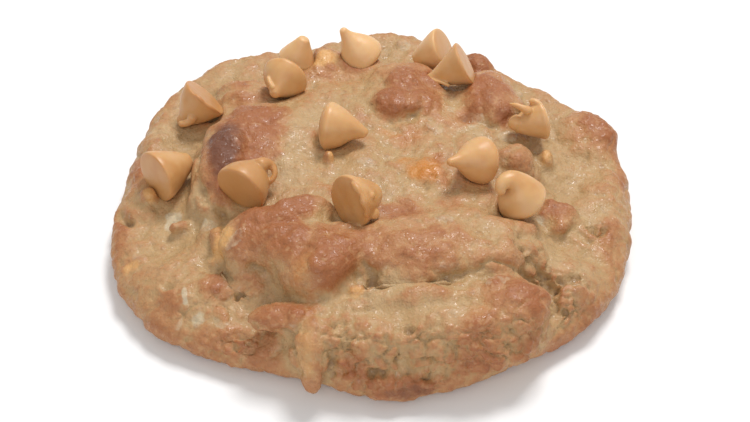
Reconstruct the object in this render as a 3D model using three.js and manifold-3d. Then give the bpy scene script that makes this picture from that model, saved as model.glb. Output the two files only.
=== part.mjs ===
// An oatmeal butterscotch cookie: one thick, craggy baked biscuit with thirteen baking chips on top.
// Millimetres, +Z up, +Y away from the front. The origin is the middle of the flat underside.
import * as THREE from "three";
import { ImprovedNoise } from "three/addons/math/ImprovedNoise.js";
import { mergeVertices } from "three/addons/utils/BufferGeometryUtils.js";
import Module from "manifold-3d";

const wasm = await Module();
wasm.setup();

const DEGREE = Math.PI / 180;

// Driving dimensions of the baked dough.
const COOKIE_RADIUS = 52.8;
const RIM_HEIGHT = 9;
const RIM_HEIGHT_BACK = 1.6; // how much higher the rim stands at the back than in the middle
const CENTRE_HEIGHT = 15.8;
const CENTRE_EDGE = [0.84, 0.35]; // shares of the radius where the middle starts to rise and reaches its top
const MOAT = { place: 0.8, width: 0.16, depth: 0.8 }; // the low ring inside the rim, in shares of the radius
const ROUGHNESS = [
  { size: 14, height: 0.8 },
  { size: 5.5, height: 0.8 },
  { size: 2.8, height: 0.5 },
];
const BLEND = 2.2; // how softly the mounds run into the dough round them
const WARP = { size: 8, shift: 1.6, layers: [3, 40] }; // how far the edges of the mounds wander in x and in y
const FLATNESS = 2.5; // how square the mounds and crags are: 2 is round
const KNOBS = { rate: 1.3, share: 1 }; // the coarse knobs of a crag's skin
const GRAINS = { rate: 3.1, share: 0.5 }; // its finer grains
const BIT_ROUGHNESS = 0.1;
const SEED_STEP = 7.3; // what makes each lump's roughness its own
const SOFTENING = 0.5; // how far the creases between the crags are rounded off, from 0 to 1
const UNDERSIDE_FLAT = 0.01; // what lies lower than this is the flat underside

// The fineness of the faces.
const BODY_DETAIL = 15;
const CRAG_FACET = 3.05;
const LEAST_CRAG_DETAIL = 2;
const BIT_DETAIL = 1;
const CHIP_SEGMENTS = 12;
const SPINE_STEPS = 60;

// Slow swells of the outline: how many lie round the edge, how far out they go and where a crest is.
const OUTLINE_SWELLS = [
  { waves: 1, out: 0.82, crest: -156 },
  { waves: 2, out: 1.12, crest: -23 },
  { waves: 3, out: 0.86, crest: -21 },
  { waves: 4, out: 0.79, crest: 28 },
  { waves: 5, out: 0.98, crest: 2 },
  { waves: 6, out: 0.93, crest: 26 },
  { waves: 7, out: 0.58, crest: 23 },
];

// The side of the dough from its top edge down to the underside: share of the radius and of the rim's height.
const SIDE_PROFILE = [
  [0.93, 1],
  [0.975, 0.88],
  [1, 0.62],
  [1, 0.38],
  [0.98, 0.16],
  [0.94, 0.04],
  [0.9, 0],
];
const TOP_TURN = 110; // degrees of the ball that become the top of the dough
const SIDE_TURN = 24; // degrees of the ball that become its side

// Mounds: broad swellings of the top, which run softly into the dough round them. Each has its middle and top
// height, its length and width, the turn of its length from +X, how far its middle stands above its edge, and
// how wide its slope is.
const MOUNDS = [
  // the dark swelling on the left
  { at: [-27, 4, 17.5], size: [17, 31], turn: -14, crown: 1, slope: 2.6 },
  { at: [-20, 8, 17], size: [20, 17], turn: 20, crown: 1, slope: 5 },
  // the broad front mass
  { at: [-20, -22, 19], size: [17, 15], turn: 20, crown: 2, slope: 4 },
  { at: [-9.5, -28.5, 20], size: [20, 18], turn: 30, crown: 1.6, slope: 4 },
  { at: [5, -26, 19], size: [28, 15], turn: 0, crown: 1.4, slope: 4.5 },
  { at: [15, -24, 19], size: [24, 19], turn: 6, crown: 1.4, slope: 5 },
  { at: [27, -23, 16.4], size: [14, 16], turn: 0, crown: 1, slope: 5 },
  // the shelf in front of it and the lump at the shelf's right end
  { at: [2, -40.5, 14.6], size: [38, 18], turn: 4, crown: 1.6, slope: 4 },
  { at: [19, -40.5, 16.2], size: [27, 17], turn: 16, crown: 1.6, slope: 4 },
  // the lumps at the back
  { at: [7, 24, 17], size: [20, 21], turn: -15, crown: 1.2, slope: 4 },
  { at: [24.5, 20, 16.4], size: [15, 26], turn: 8, crown: 1.2, slope: 4 },
  { at: [27.5, 1, 16.2], size: [13, 13], turn: 20, crown: 1, slope: 4 },
  { at: [-9, 35, 14.8], size: [26, 11], turn: 6, crown: 1, slope: 4 },
  { at: [-28, 27, 13.8], size: [13, 12], turn: 30, crown: 0.8, slope: 4 },
  // the right flank and the rim
  { at: [45, 15, 11.8], size: [14, 17], turn: 40, crown: 1.2, slope: 3.5 },
  { at: [44, -10, 10.6], size: [12, 26], turn: -10, crown: 0.8, slope: 7 },
  { at: [37, -29, 11.4], size: [14, 18], turn: 35, crown: 1, slope: 4 },
  { at: [-44.5, 7, 11.2], size: [11, 20], turn: 10, crown: 0.8, slope: 3.5 },
  { at: [-36, -30, 10.4], size: [18, 14], turn: -40, crown: 0.8, slope: 4 },
];

// Crags: lumps that stand clear of the dough round them, with a crease at their foot or an edge that overhangs.
// Each has the middle of its top, its length, width and thickness, the turn of its length, and its roughness.
const CRAGS = [
  { at: [-29, -1.5, 18.9], size: [14, 20, 9], turn: 8, rough: 0.1 },
  { at: [-33.6, 1, 15.6], size: [6, 27, 9], turn: -7, rough: 0.08 },
  { at: [-30.5, -10.5, 15.4], size: [9, 8, 9], turn: 0, rough: 0.14 },
  { at: [-23.5, 10, 18], size: [16, 12, 8], turn: 30, rough: 0.14 },
  // the lobes and the rolled front lip of the broad front mass
  { at: [-21.5, -22.6, 19.8], size: [16, 13, 11], turn: 30, rough: 0.14 },
  { at: [-9.5, -29.5, 20.9], size: [18, 15, 13], turn: 50, rough: 0.14 },
  { at: [-14, -18.5, 20.6], size: [14, 9, 9], turn: 25, rough: 0.2 },
  { at: [6, -29, 19.4], size: [24, 12, 9], turn: -2, rough: 0.12 },
  { at: [19, -28.5, 18.6], size: [17, 11, 8], turn: 10, rough: 0.14 },
  // the shelf's front edge and the lump at its right end
  { at: [-2, -45, 12.6], size: [17, 9, 7], turn: -4, rough: 0.14 },
  { at: [13, -45.5, 12.8], size: [17, 9, 7.5], turn: 10, rough: 0.16 },
  { at: [24.5, -39, 17], size: [17, 14, 10], turn: 15, rough: 0.16 },
  { at: [23, -45.5, 11.4], size: [12, 7, 6], turn: 15, rough: 0.2 },
  // the ridge at the front left
  { at: [-15.5, -40.6, 13.8], size: [17, 7.5, 4.4], turn: 4, rough: 0.16 },
  // the noses of the lumps at the back, and the blocks beside the chips on the right
  { at: [4.8, 18, 18.2], size: [13, 10, 8], turn: 8, rough: 0.18 },
  { at: [25.5, 16.5, 17.6], size: [13, 9, 8], turn: -15, rough: 0.2 },
  { at: [28.5, -0.5, 17], size: [10, 9, 8], turn: 20, rough: 0.18 },
  { at: [36.8, -13, 13.2], size: [5, 9.5, 4], turn: -20, rough: 0.12 },
  { at: [46, 16, 12.4], size: [13, 9, 9], turn: -45, rough: 0.14 },
];

// A chip sunk in the front edge under a skin of dough, with its tip standing out of the side.
const SUNKEN_CHIP = { at: [-11.3, -44, 9.6], heading: 275, dip: 38, radius: 4.9, length: 10, curl: 0, curlTo: 0 };

// Bits fused to the dough: crushed chips, chip beads and oat flakes that stand out of the crust.
const BITS = [
  { at: [-29.8, -19.6, 13.2], size: [5, 6.5, 4], turn: 20 },
  { at: [-45, -4.5, 11.4], size: [5, 4, 3.6], turn: 60 },
  { at: [11.5, -6, 17.2], size: [7.5, 5.5, 4], turn: 20 },
  { at: [-3.5, -36.4, 15.8], size: [3, 2.6, 3], turn: 0 },
  { at: [-9.2, -1, 18], size: [2.4, 2.2, 2.6], turn: 0 },
  { at: [35.3, 4.1, 14.4], size: [3.6, 5, 4.6], turn: 25 },
  { at: [-12.8, 37.5, 15.2], size: [7, 4.5, 3], turn: 10 },
  { at: [-35, -31.5, 11.2], size: [2.6, 7, 3], turn: 15 },
  { at: [-38, -14, 11.4], size: [5.5, 3, 3], turn: 25 },
];

// A chip: a flat round base that narrows to a tip. Shares of the base's radius and of the chip's length.
const CHIP_PROFILE = [
  [0.84, 0],
  [0.97, 0.05],
  [1, 0.15],
  [0.96, 0.29],
  [0.83, 0.44],
  [0.61, 0.58],
  [0.38, 0.71],
  [0.22, 0.83],
  [0.15, 0.94],
];
const CHIP_BEND_START = 0.35; // share of the length
const CHIP_BEND_POWER = 3;
const CHIP_GAP = 0.3;

// The chips: the middle of each base, the way its tip points in plan, how far it dips, its base radius, its
// length, and how far and which way round its axis the tip curls.
const CHIPS = [
  { at: [-17.4, 36.2, 13], heading: 10, dip: -75, radius: 4.5, length: 8, curl: 0, curlTo: 0 },
  { at: [-18.4, 26.9, 17], heading: 242, dip: 10, radius: 5.2, length: 9.4, curl: 90, curlTo: 70 },
  { at: [-2, 37.2, 12.8], heading: 180, dip: -60, radius: 4.6, length: 9.6, curl: 15, curlTo: 0 },
  { at: [15.6, 36.6, 16.5], heading: 170, dip: 30, radius: 4.8, length: 8.4, curl: 0, curlTo: 0 },
  { at: [19.7, 27.4, 18.5], heading: 184, dip: 26, radius: 5.2, length: 10.4, curl: 60, curlTo: 0 },
  { at: [33.7, 12.5, 17], heading: 208, dip: 10, radius: 4.9, length: 8.2, curl: 20, curlTo: 180 },
  { at: [-35.5, 21.1, 15], heading: 206, dip: 42, radius: 5.3, length: 8.5, curl: 40, curlTo: 0 },
  { at: [-10.6, 6, 19.3], heading: 348, dip: 12, radius: 4.8, length: 9.6, curl: 20, curlTo: 90 },
  { at: [-43.8, -3.6, 13.4], heading: 32, dip: 2, radius: 5.3, length: 9, curl: 0, curlTo: 0 },
  { at: [-26, -12.8, 18.2], heading: 63, dip: -9, radius: 5.3, length: 12, curl: 210, curlTo: 90 },
  { at: [22.4, -3.6, 18.2], heading: 208, dip: -20, radius: 4.9, length: 10.4, curl: 10, curlTo: 180 },
  { at: [29.6, -13.4, 14.3], heading: 190, dip: -58, radius: 5, length: 10.3, curl: 150, curlTo: 207 },
  { at: [-4.8, -19.6, 21], heading: 33, dip: 19, radius: 5.3, length: 9.4, curl: 0, curlTo: 0 },
];

const DOUGH_FINISH = { color: 0xb88a5c, roughness: 0.75, metalness: 0 };
const CHIP_FINISH = { color: 0xd69a5a, roughness: 0.4, metalness: 0 };

const noise = new ImprovedNoise();

/** Roughness at a point: smooth noise between about -1 and 1, with bumps of the given size. */
function roughness(x, y, z, size) {
  return noise.noise(x / size, y / size, z / size);
}

/** A value that rises smoothly from 0 at one edge to 1 at the other. */
function rise(from, to, value) {
  const share = THREE.MathUtils.clamp((value - from) / (to - from), 0, 1);
  return share * share * (3 - 2 * share);
}

/** A geometry as a solid that can be joined and cut. */
function toSolid(geometry) {
  const bare = geometry.clone();
  bare.deleteAttribute("normal");
  bare.deleteAttribute("uv");
  const merged = mergeVertices(bare, 1e-4);
  return new wasm.Manifold(
    new wasm.Mesh({
      numProp: 3,
      vertProperties: merged.attributes.position.array,
      triVerts: new Uint32Array(merged.index.array),
    }),
  );
}

/** A solid as a geometry that can be shown. */
function toGeometry(solid) {
  const mesh = solid.getMesh();
  const geometry = new THREE.BufferGeometry();
  geometry.setAttribute("position", new THREE.BufferAttribute(mesh.vertProperties, 3));
  geometry.setIndex(new THREE.BufferAttribute(mesh.triVerts, 1));
  geometry.computeVertexNormals();
  return geometry;
}

/** Moves every vertex of a geometry to where a function puts it. */
function moveVertices(geometry, place) {
  const position = geometry.attributes.position;
  const point = new THREE.Vector3();
  for (let i = 0; i < position.count; i++) {
    point.fromBufferAttribute(position, i);
    place(point);
    position.setXYZ(i, point.x, point.y, point.z);
  }
  return geometry;
}

/** The outline's radius in one direction from the middle. */
function outlineRadius(angle) {
  let radius = COOKIE_RADIUS;
  for (const swell of OUTLINE_SWELLS) {
    radius += swell.out * Math.cos(swell.waves * (angle - swell.crest * DEGREE));
  }
  return radius;
}

/** The larger of two heights, with the corner between them rounded off. */
function softMax(a, b, blend) {
  const overlap = Math.max(blend - Math.abs(a - b), 0) / blend;
  return Math.max(a, b) + (overlap * overlap * blend) / 4;
}

/** The height of the plain top, without its mounds, at a share of the radius in one direction. */
function plainTop(share, angle) {
  const rim = RIM_HEIGHT + RIM_HEIGHT_BACK * Math.sin(angle) * rise(0.2, 1, share);
  const middle = (CENTRE_HEIGHT - rim) * rise(CENTRE_EDGE[0], CENTRE_EDGE[1], share);
  const moat = MOAT.depth * rise(MOAT.width, 0, Math.abs(share - MOAT.place));
  return rim + middle - moat;
}

/** The height of one mound at a place, which falls away steeply beyond the mound's edge. */
function moundHeight({ at: [x, y, top], size: [length, width], turn, crown, slope }, px, py) {
  const [cos, sin] = [Math.cos(turn * DEGREE), Math.sin(turn * DEGREE)];
  const along = ((px - x) * cos + (py - y) * sin) / (length / 2);
  const across = ((py - y) * cos - (px - x) * sin) / (width / 2);
  const share = (Math.abs(along) ** FLATNESS + Math.abs(across) ** FLATNESS) ** (1 / FLATNESS);
  const past = ((share - 1) * (length + width)) / 4;
  return top - crown * share * share - top * rise(-slope / 2, slope / 2, past);
}

/** The height of the top with its mounds. */
function topHeight(share, angle, x, y) {
  const [shiftX, shiftY] = WARP.layers.map((layer) => WARP.shift * roughness(x, y, layer, WARP.size));
  let height = plainTop(share, angle);
  for (const mound of MOUNDS) {
    height = softMax(height, moundHeight(mound, x + shiftX, y + shiftY), BLEND);
  }
  return height;
}

/** The side profile at a share of its way down: share of the radius and of the rim's height. */
function sideProfile(way) {
  const place = THREE.MathUtils.clamp(way, 0, 1) * (SIDE_PROFILE.length - 1);
  const i = Math.min(Math.floor(place), SIDE_PROFILE.length - 2);
  const [from, to] = [SIDE_PROFILE[i], SIDE_PROFILE[i + 1]];
  return [0, 1].map((k) => THREE.MathUtils.lerp(from[k], to[k], place - i));
}

/** Where a point of a ball goes on the dough: its share of the radius, and its level from underside to top. */
function doughPlace(turn) {
  const sideEnd = TOP_TURN + SIDE_TURN;
  if (turn < TOP_TURN) {
    const share = Math.sin((turn * DEGREE) / 2) / Math.sin((TOP_TURN * DEGREE) / 2);
    return [share * SIDE_PROFILE[0][0], 1];
  }
  if (turn < sideEnd) return sideProfile((turn - TOP_TURN) / SIDE_TURN);
  const share = Math.cos((turn * DEGREE) / 2) / Math.cos((sideEnd * DEGREE) / 2);
  return [share * SIDE_PROFILE.at(-1)[0], 0];
}

/** The body of the dough: a thick round with a swelling outline, a rounded side, mounds and a rough crust. */
function doughBody() {
  return moveVertices(new THREE.IcosahedronGeometry(1, BODY_DETAIL), (point) => {
    const turn = Math.acos(THREE.MathUtils.clamp(point.z, -1, 1)) / DEGREE;
    const angle = Math.atan2(point.y, point.x);
    const [share, level] = doughPlace(turn);
    const radius = share * outlineRadius(angle);
    const [x, y] = [radius * Math.cos(angle), radius * Math.sin(angle)];
    const height = level * topHeight(share, angle, x, y);
    let rough = 0;
    for (const grade of ROUGHNESS) {
      rough += grade.height * roughness(x, y, height, grade.size);
    }
    const out = rough * rise(0, 0.3, level) * rise(0.75, 1, share);
    const up = rough * rise(0.2, 1, level);
    point.set(x + out * Math.cos(angle), y + out * Math.sin(angle), height + up);
  });
}

/** A rough lump: a ball with flattened sides and a knobbly skin, of the given length, width and thickness. */
function lump(size, rough, detail, seed) {
  const [length, width, thickness] = size;
  return moveVertices(new THREE.IcosahedronGeometry(1, detail), (point) => {
    const spread = [point.x, point.y, point.z].reduce((sum, part) => sum + Math.abs(part) ** FLATNESS, 0);
    let knobbly = 0;
    for (const { rate, share } of [KNOBS, GRAINS]) {
      knobbly += share * roughness(rate * point.x + seed, rate * point.y - seed, rate * point.z, 1);
    }
    point.multiplyScalar(spread ** (-1 / FLATNESS) * (1 + rough * knobbly));
    point.set((point.x * length) / 2, (point.y * width) / 2, (point.z * thickness) / 2);
  });
}

/** A lump with its top at its place and its length turned its own way. */
function placedLump({ at: [x, y, top], size, turn }, rough, detail, seed) {
  return lump(size, rough, detail, seed)
    .rotateZ(turn * DEGREE)
    .translate(x, y, top - size[2] / 2);
}

/** The fineness that gives a crag faces of about the usual size. */
function cragDetail([length, width, thickness]) {
  const radius = (length + width + thickness) / 6;
  return Math.max(LEAST_CRAG_DETAIL, Math.round(radius / CRAG_FACET));
}

/** The curling middle line of a chip: where it is and how far it has turned at a distance along it. */
function curledSpine(start, end, curl) {
  return (distance) => {
    const share = (distance - start) / (end - start);
    let across = 0;
    let along = start;
    const step = (distance - start) / SPINE_STEPS;
    for (let i = 0; i < SPINE_STEPS; i++) {
      const turn = curl * ((share * (i + 0.5)) / SPINE_STEPS) ** CHIP_BEND_POWER;
      across += step * Math.sin(turn);
      along += step * Math.cos(turn);
    }
    return { across, along, turn: curl * share ** CHIP_BEND_POWER };
  };
}

/** A chip about its own axis, which starts at the middle of the base and runs along +Z, curling near the tip. */
function chipAlongAxis({ radius, length, curl, curlTo }, extra) {
  const profile = [new THREE.Vector2(0, -extra)];
  for (const [share, along] of CHIP_PROFILE) {
    profile.push(new THREE.Vector2(share * radius + extra, along * length - extra * (1 - 2 * along)));
  }
  profile.push(new THREE.Vector2(0, length + extra));
  const straight = new THREE.LatheGeometry(profile, CHIP_SEGMENTS).rotateX(90 * DEGREE);
  const start = CHIP_BEND_START * length;
  const side = new THREE.Vector3(Math.cos(curlTo * DEGREE), Math.sin(curlTo * DEGREE), 0);
  const spine = curledSpine(start, length + extra, curl * DEGREE);
  return moveVertices(straight, (point) => {
    if (point.z <= start) return;
    const { across, along, turn } = spine(point.z);
    const lean = point.x * side.x + point.y * side.y;
    const shift = across + lean * (Math.cos(turn) - 1);
    point.set(point.x + shift * side.x, point.y + shift * side.y, along - lean * Math.sin(turn));
  });
}

/** A chip in its place on the cookie, or the larger form that its pocket in the dough is cut with. */
function chipInPlace(chip, extra = 0) {
  const [x, y, z] = chip.at;
  const heading = chip.heading * DEGREE;
  const dip = chip.dip * DEGREE;
  const axis = new THREE.Vector3(
    Math.cos(heading) * Math.cos(dip),
    Math.sin(heading) * Math.cos(dip),
    -Math.sin(dip),
  );
  const left = new THREE.Vector3(-Math.sin(heading), Math.cos(heading), 0);
  const above = new THREE.Vector3().crossVectors(axis, left);
  const frame = new THREE.Matrix4().makeBasis(above, left.clone().negate(), axis).setPosition(x, y, z);
  return chipAlongAxis(chip, extra).applyMatrix4(frame);
}

/** A closed mesh with its creases and edges rounded off a little, all but the flat underside. */
function softened(geometry) {
  const position = geometry.attributes.position;
  const middle = Array.from({ length: position.count }, () => new THREE.Vector3());
  const count = new Array(position.count).fill(0);
  const point = new THREE.Vector3();
  const corners = geometry.index.array;
  for (let i = 0; i < corners.length; i++) {
    const next = i % 3 === 2 ? corners[i - 2] : corners[i + 1];
    middle[corners[i]].add(point.fromBufferAttribute(position, next));
    count[corners[i]] += 1;
  }
  middle.forEach((sum, i) => {
    point.fromBufferAttribute(position, i);
    if (point.z < UNDERSIDE_FLAT) return;
    point.lerp(sum.divideScalar(count[i]), SOFTENING);
    position.setXYZ(i, point.x, point.y, Math.max(point.z, UNDERSIDE_FLAT));
  });
  return geometry;
}

/** The largest closed piece of a solid, without loose scraps or the walls of sealed hollows. */
function wholePiece(solid) {
  const pieces = solid.decompose();
  return pieces.reduce((best, piece) => (piece.volume() > best.volume() ? piece : best));
}

/** The whole baked dough: its body, crags and fused bits in one, with a pocket for each chip. */
function bakedDough() {
  let dough = toSolid(doughBody());
  CRAGS.forEach((crag, i) => {
    dough = dough.add(toSolid(placedLump(crag, crag.rough, cragDetail(crag.size), SEED_STEP * i)));
  });
  dough = dough.add(toSolid(chipInPlace(SUNKEN_CHIP)));
  BITS.forEach((bit, i) => {
    dough = dough.add(toSolid(placedLump(bit, BIT_ROUGHNESS, BIT_DETAIL, SEED_STEP * i)));
  });
  dough = toSolid(softened(toGeometry(wholePiece(dough))));
  for (const chip of CHIPS) {
    dough = dough.subtract(toSolid(chipInPlace(chip, CHIP_GAP)));
  }
  return toGeometry(wholePiece(dough));
}

/** A named piece with a finish of its own. */
function piece(name, geometry, finish) {
  const mesh = new THREE.Mesh(geometry, new THREE.MeshStandardMaterial(finish));
  mesh.name = name;
  return mesh;
}

const cookie = new THREE.Group();
cookie.add(piece("cookie", bakedDough(), DOUGH_FINISH));
CHIPS.forEach((chip, i) => {
  const number = String(i + 1).padStart(2, "0");
  cookie.add(piece(`chip_${number}`, toGeometry(toSolid(chipInPlace(chip))), CHIP_FINISH));
});

// The origin goes to the middle of the whole cookie's width and depth.
const middle = new THREE.Box3().setFromObject(cookie, true).getCenter(new THREE.Vector3());
for (const mesh of cookie.children) {
  mesh.position.set(-middle.x, -middle.y, 0);
}

export default cookie;
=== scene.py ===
"""Looks of an oatmeal butterscotch cookie: thick craggy baked dough with baking chips lying on it.

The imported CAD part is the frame.  The dough is grown from the CAD dough with finer relief and its browning,
oat flakes are sunk into its crust, and the chips are remade smooth, with what has melted, in the places of
the CAD chips.  The tables are in millimetres, the scene is in metres, +Z is up and +Y points away from the
camera.
"""

import logging
import math
from dataclasses import dataclass, field
from enum import Enum
from typing import Any, Optional, Sequence, Union

import bpy
import numpy as np
from mathutils import Matrix, Vector


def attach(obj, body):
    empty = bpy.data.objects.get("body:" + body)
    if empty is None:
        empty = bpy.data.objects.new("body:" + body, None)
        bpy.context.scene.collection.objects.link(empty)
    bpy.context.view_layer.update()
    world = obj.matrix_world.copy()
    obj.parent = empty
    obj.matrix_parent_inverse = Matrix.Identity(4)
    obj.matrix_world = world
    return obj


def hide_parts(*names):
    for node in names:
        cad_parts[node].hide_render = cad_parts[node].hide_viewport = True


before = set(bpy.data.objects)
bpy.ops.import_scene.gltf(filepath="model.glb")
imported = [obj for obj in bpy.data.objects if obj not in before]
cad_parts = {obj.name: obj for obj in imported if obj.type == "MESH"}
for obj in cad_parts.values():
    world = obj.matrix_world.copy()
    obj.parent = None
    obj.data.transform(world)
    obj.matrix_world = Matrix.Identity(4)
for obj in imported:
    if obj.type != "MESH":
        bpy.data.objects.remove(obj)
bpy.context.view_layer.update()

LOG = logging.getLogger("cookie")
MM = 0.001
# How far the CAD part was moved sideways to bring the middle of its box to the origin, in millimetres.
BOX_MIDDLE = (0.03, 0.1)
Point = tuple[float, float, float]
Colour = tuple[float, float, float]


def tint(red: int, green: int, blue: int) -> Colour:
    """A colour as seen on a screen, from 0 to 255, turned into the linear one that a shader takes.

    Args:
        red: how much red.
        green: how much green.
        blue: how much blue.

    Returns:
        The linear colour.
    """
    parts = [part / 255 for part in (red, green, blue)]
    linear = [part / 12.92 if part < 0.0405 else ((part + 0.055) / 1.055) ** 2.4 for part in parts]
    return (linear[0], linear[1], linear[2])


# ----------------------------------------------------------------------------------------------------
# Node trees written as Python expressions


@dataclass(frozen=True)
class Value:
    """One output of a node tree that takes part in Python arithmetic.

    Attributes:
        graph: the tree it is in.
        socket: the output socket.
    """

    graph: "Graph"
    socket: bpy.types.NodeSocket

    def _maths(self, operation: str, first: "Feed", second: "Feed" = 0.0) -> "Value":
        """A Math node on two numbers.

        Args:
            operation: what the node does.
            first: its first number.
            second: its second number.

        Returns:
            The node's result.
        """
        feeds = {"Value": first, "Value_001": second}
        return self.graph.node("ShaderNodeMath", {"operation": operation}, feeds)

    def __add__(self, other: "Feed") -> "Value":
        """The sum."""
        return self._maths("ADD", self, other)

    __radd__ = __add__

    def __sub__(self, other: "Feed") -> "Value":
        """The difference."""
        return self._maths("SUBTRACT", self, other)

    def __rsub__(self, other: "Feed") -> "Value":
        """The difference from a plain number."""
        return self._maths("SUBTRACT", other, self)

    def __mul__(self, other: "Feed") -> "Value":
        """The product."""
        return self._maths("MULTIPLY", self, other)

    __rmul__ = __mul__

    def __truediv__(self, other: "Feed") -> "Value":
        """The quotient."""
        return self._maths("DIVIDE", self, other)

    def __pow__(self, other: "Feed") -> "Value":
        """The power."""
        return self._maths("POWER", self, other)

    def unsigned(self) -> "Value":
        """The number without its sign."""
        return self._maths("ABSOLUTE", self)

    def sine(self) -> "Value":
        """The sine."""
        return self._maths("SINE", self)

    def cosine(self) -> "Value":
        """The cosine."""
        return self._maths("COSINE", self)

    def least(self, other: "Feed") -> "Value":
        """The smaller of two numbers."""
        return self._maths("MINIMUM", self, other)

    def most(self, other: "Feed") -> "Value":
        """The larger of two numbers."""
        return self._maths("MAXIMUM", self, other)

    def rise(self, start: float, end: float) -> "Value":
        """A smooth step over this number.

        Args:
            start: where it leaves 0.
            end: where it reaches 1; it may lie below the start.

        Returns:
            A number from 0 to 1.
        """
        if start > end:
            return 1.0 - self.rise(end, start)
        feeds = {"Value": self, "From Min": start, "From Max": end}
        return self.graph.node("ShaderNodeMapRange", {"interpolation_type": "SMOOTHSTEP"}, feeds)


Feed = Union[Value, float, int, bool, str, tuple, bpy.types.ID]


class Graph:
    """A node tree, shader or geometry, to which nodes are added one expression at a time."""

    def __init__(self, tree: bpy.types.NodeTree) -> None:
        """Starts on an empty tree.

        Args:
            tree: the tree to build in.
        """
        self.tree = tree

    def node(
        self,
        kind: str,
        settings: Optional[dict[str, Any]] = None,
        feeds: Optional[dict[str, Feed]] = None,
        out: str = "",
    ) -> Value:
        """Adds any node: first its settings, then the values and links of its sockets.

        Args:
            kind: the node's type.
            settings: its properties; "bends" are the points of a float curve.
            feeds: a number, vector, colour or output for each input, by the socket's identifier.
            out: the identifier of the output that is wanted; the first one when empty.

        Returns:
            The chosen output.
        """
        made = self.tree.nodes.new(kind)
        for name, setting in (settings or {}).items():
            if name == "bends":
                self._bend(made, setting)
            else:
                setattr(made, name, setting)
        for name, value in (feeds or {}).items():
            self.feed(next(socket for socket in made.inputs if socket.identifier == name), value)
        if not made.outputs:
            return Value(self, made.inputs[0])
        chosen = next((socket for socket in made.outputs if socket.identifier == out), made.outputs[0])
        return Value(self, chosen)

    @staticmethod
    def _bend(made: bpy.types.Node, bends: Sequence[tuple[float, float]]) -> None:
        """Gives a float curve its points.

        Args:
            made: the float curve node.
            bends: the points, from 0 to 1 both ways.
        """
        points = made.mapping.curves[0].points
        while len(points) < len(bends):
            points.new(0.5, 0.5)
        for point, place in zip(points, bends):
            point.location = place
            point.handle_type = "AUTO_CLAMPED"
        made.mapping.update()

    def feed(self, socket: bpy.types.NodeSocket, value: Feed) -> None:
        """Gives an input its link or its constant.

        Args:
            socket: the input.
            value: an output to link, or a constant.
        """
        if isinstance(value, Value):
            self.tree.links.new(value.socket, socket)
        elif socket.type == "RGBA" and isinstance(value, tuple):
            socket.default_value = (*value[:3], 1.0)
        else:
            socket.default_value = value

    def vectors(
        self,
        operation: str,
        first: Feed,
        second: Feed = (0.0, 0.0, 0.0),
        scale: Feed = 1.0,
    ) -> Value:
        """A Vector Math node.

        Args:
            operation: what the node does.
            first: its first vector.
            second: its second vector.
            scale: the number it scales by.

        Returns:
            The resulting vector, or the number of a dot product.
        """
        feeds = {"Vector": first, "Vector_001": second, "Scale": scale}
        out = "Value" if operation == "DOT_PRODUCT" else "Vector"
        return self.node("ShaderNodeVectorMath", {"operation": operation}, feeds, out)

    def blend(self, share: Feed, low: Feed, high: Feed) -> Value:
        """A mix of two colours.

        Args:
            share: how much of the second colour.
            low: the colour at 0.
            high: the colour at 1.

        Returns:
            The mixed colour.
        """
        feeds = {"Factor_Float": share, "A_Color": low, "B_Color": high}
        return self.node("ShaderNodeMix", {"data_type": "RGBA"}, feeds, "Result_Color")

    def part(self, vector: Feed, axis: str) -> Value:
        """The X, Y or Z of a vector."""
        return self.node("ShaderNodeSeparateXYZ", {}, {"Vector": vector}, axis)

    def noise(
        self,
        place: Feed,
        size: float,
        detail: float = 2.0,
        out: str = "Fac",
        seed: float = 0.0,
    ) -> Value:
        """Smooth noise about 0.5.

        Args:
            place: where it is read.
            size: how large its bumps are, in millimetres.
            detail: how many finer layers lie on it.
            out: the number or the colour.
            seed: what makes it another noise.

        Returns:
            The noise.
        """
        feeds = {"Vector": place, "W": seed, "Scale": 1.0 / (size * MM), "Detail": detail}
        return self.node("ShaderNodeTexNoise", {"noise_dimensions": "4D"}, feeds, out)

    def cells(self, place: Feed, size: float, feature: str = "F1", out: str = "Distance") -> Value:
        """Cells round scattered points.

        Args:
            place: where they are read.
            size: how far apart the points are, in millimetres.
            feature: which of Voronoi's patterns.
            out: the distance to the point, in cells, or the cell's random colour.

        Returns:
            The pattern.
        """
        feeds = {"Vector": place, "Scale": 1.0 / (size * MM)}
        return self.node("ShaderNodeTexVoronoi", {"feature": feature}, feeds, out)

    def drift(self, place: Feed, size: float, detail: float, seed: float) -> Value:
        """A smooth wandering to all sides.

        Args:
            place: where it is read.
            size: how far apart its turns are, in millimetres.
            detail: how many finer layers lie on it.
            seed: what makes it another drift.

        Returns:
            A vector whose parts lie between -0.5 and 0.5.
        """
        return self.vectors("SUBTRACT", self.noise(place, size, detail, "Color", seed), (0.5, 0.5, 0.5))


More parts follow.
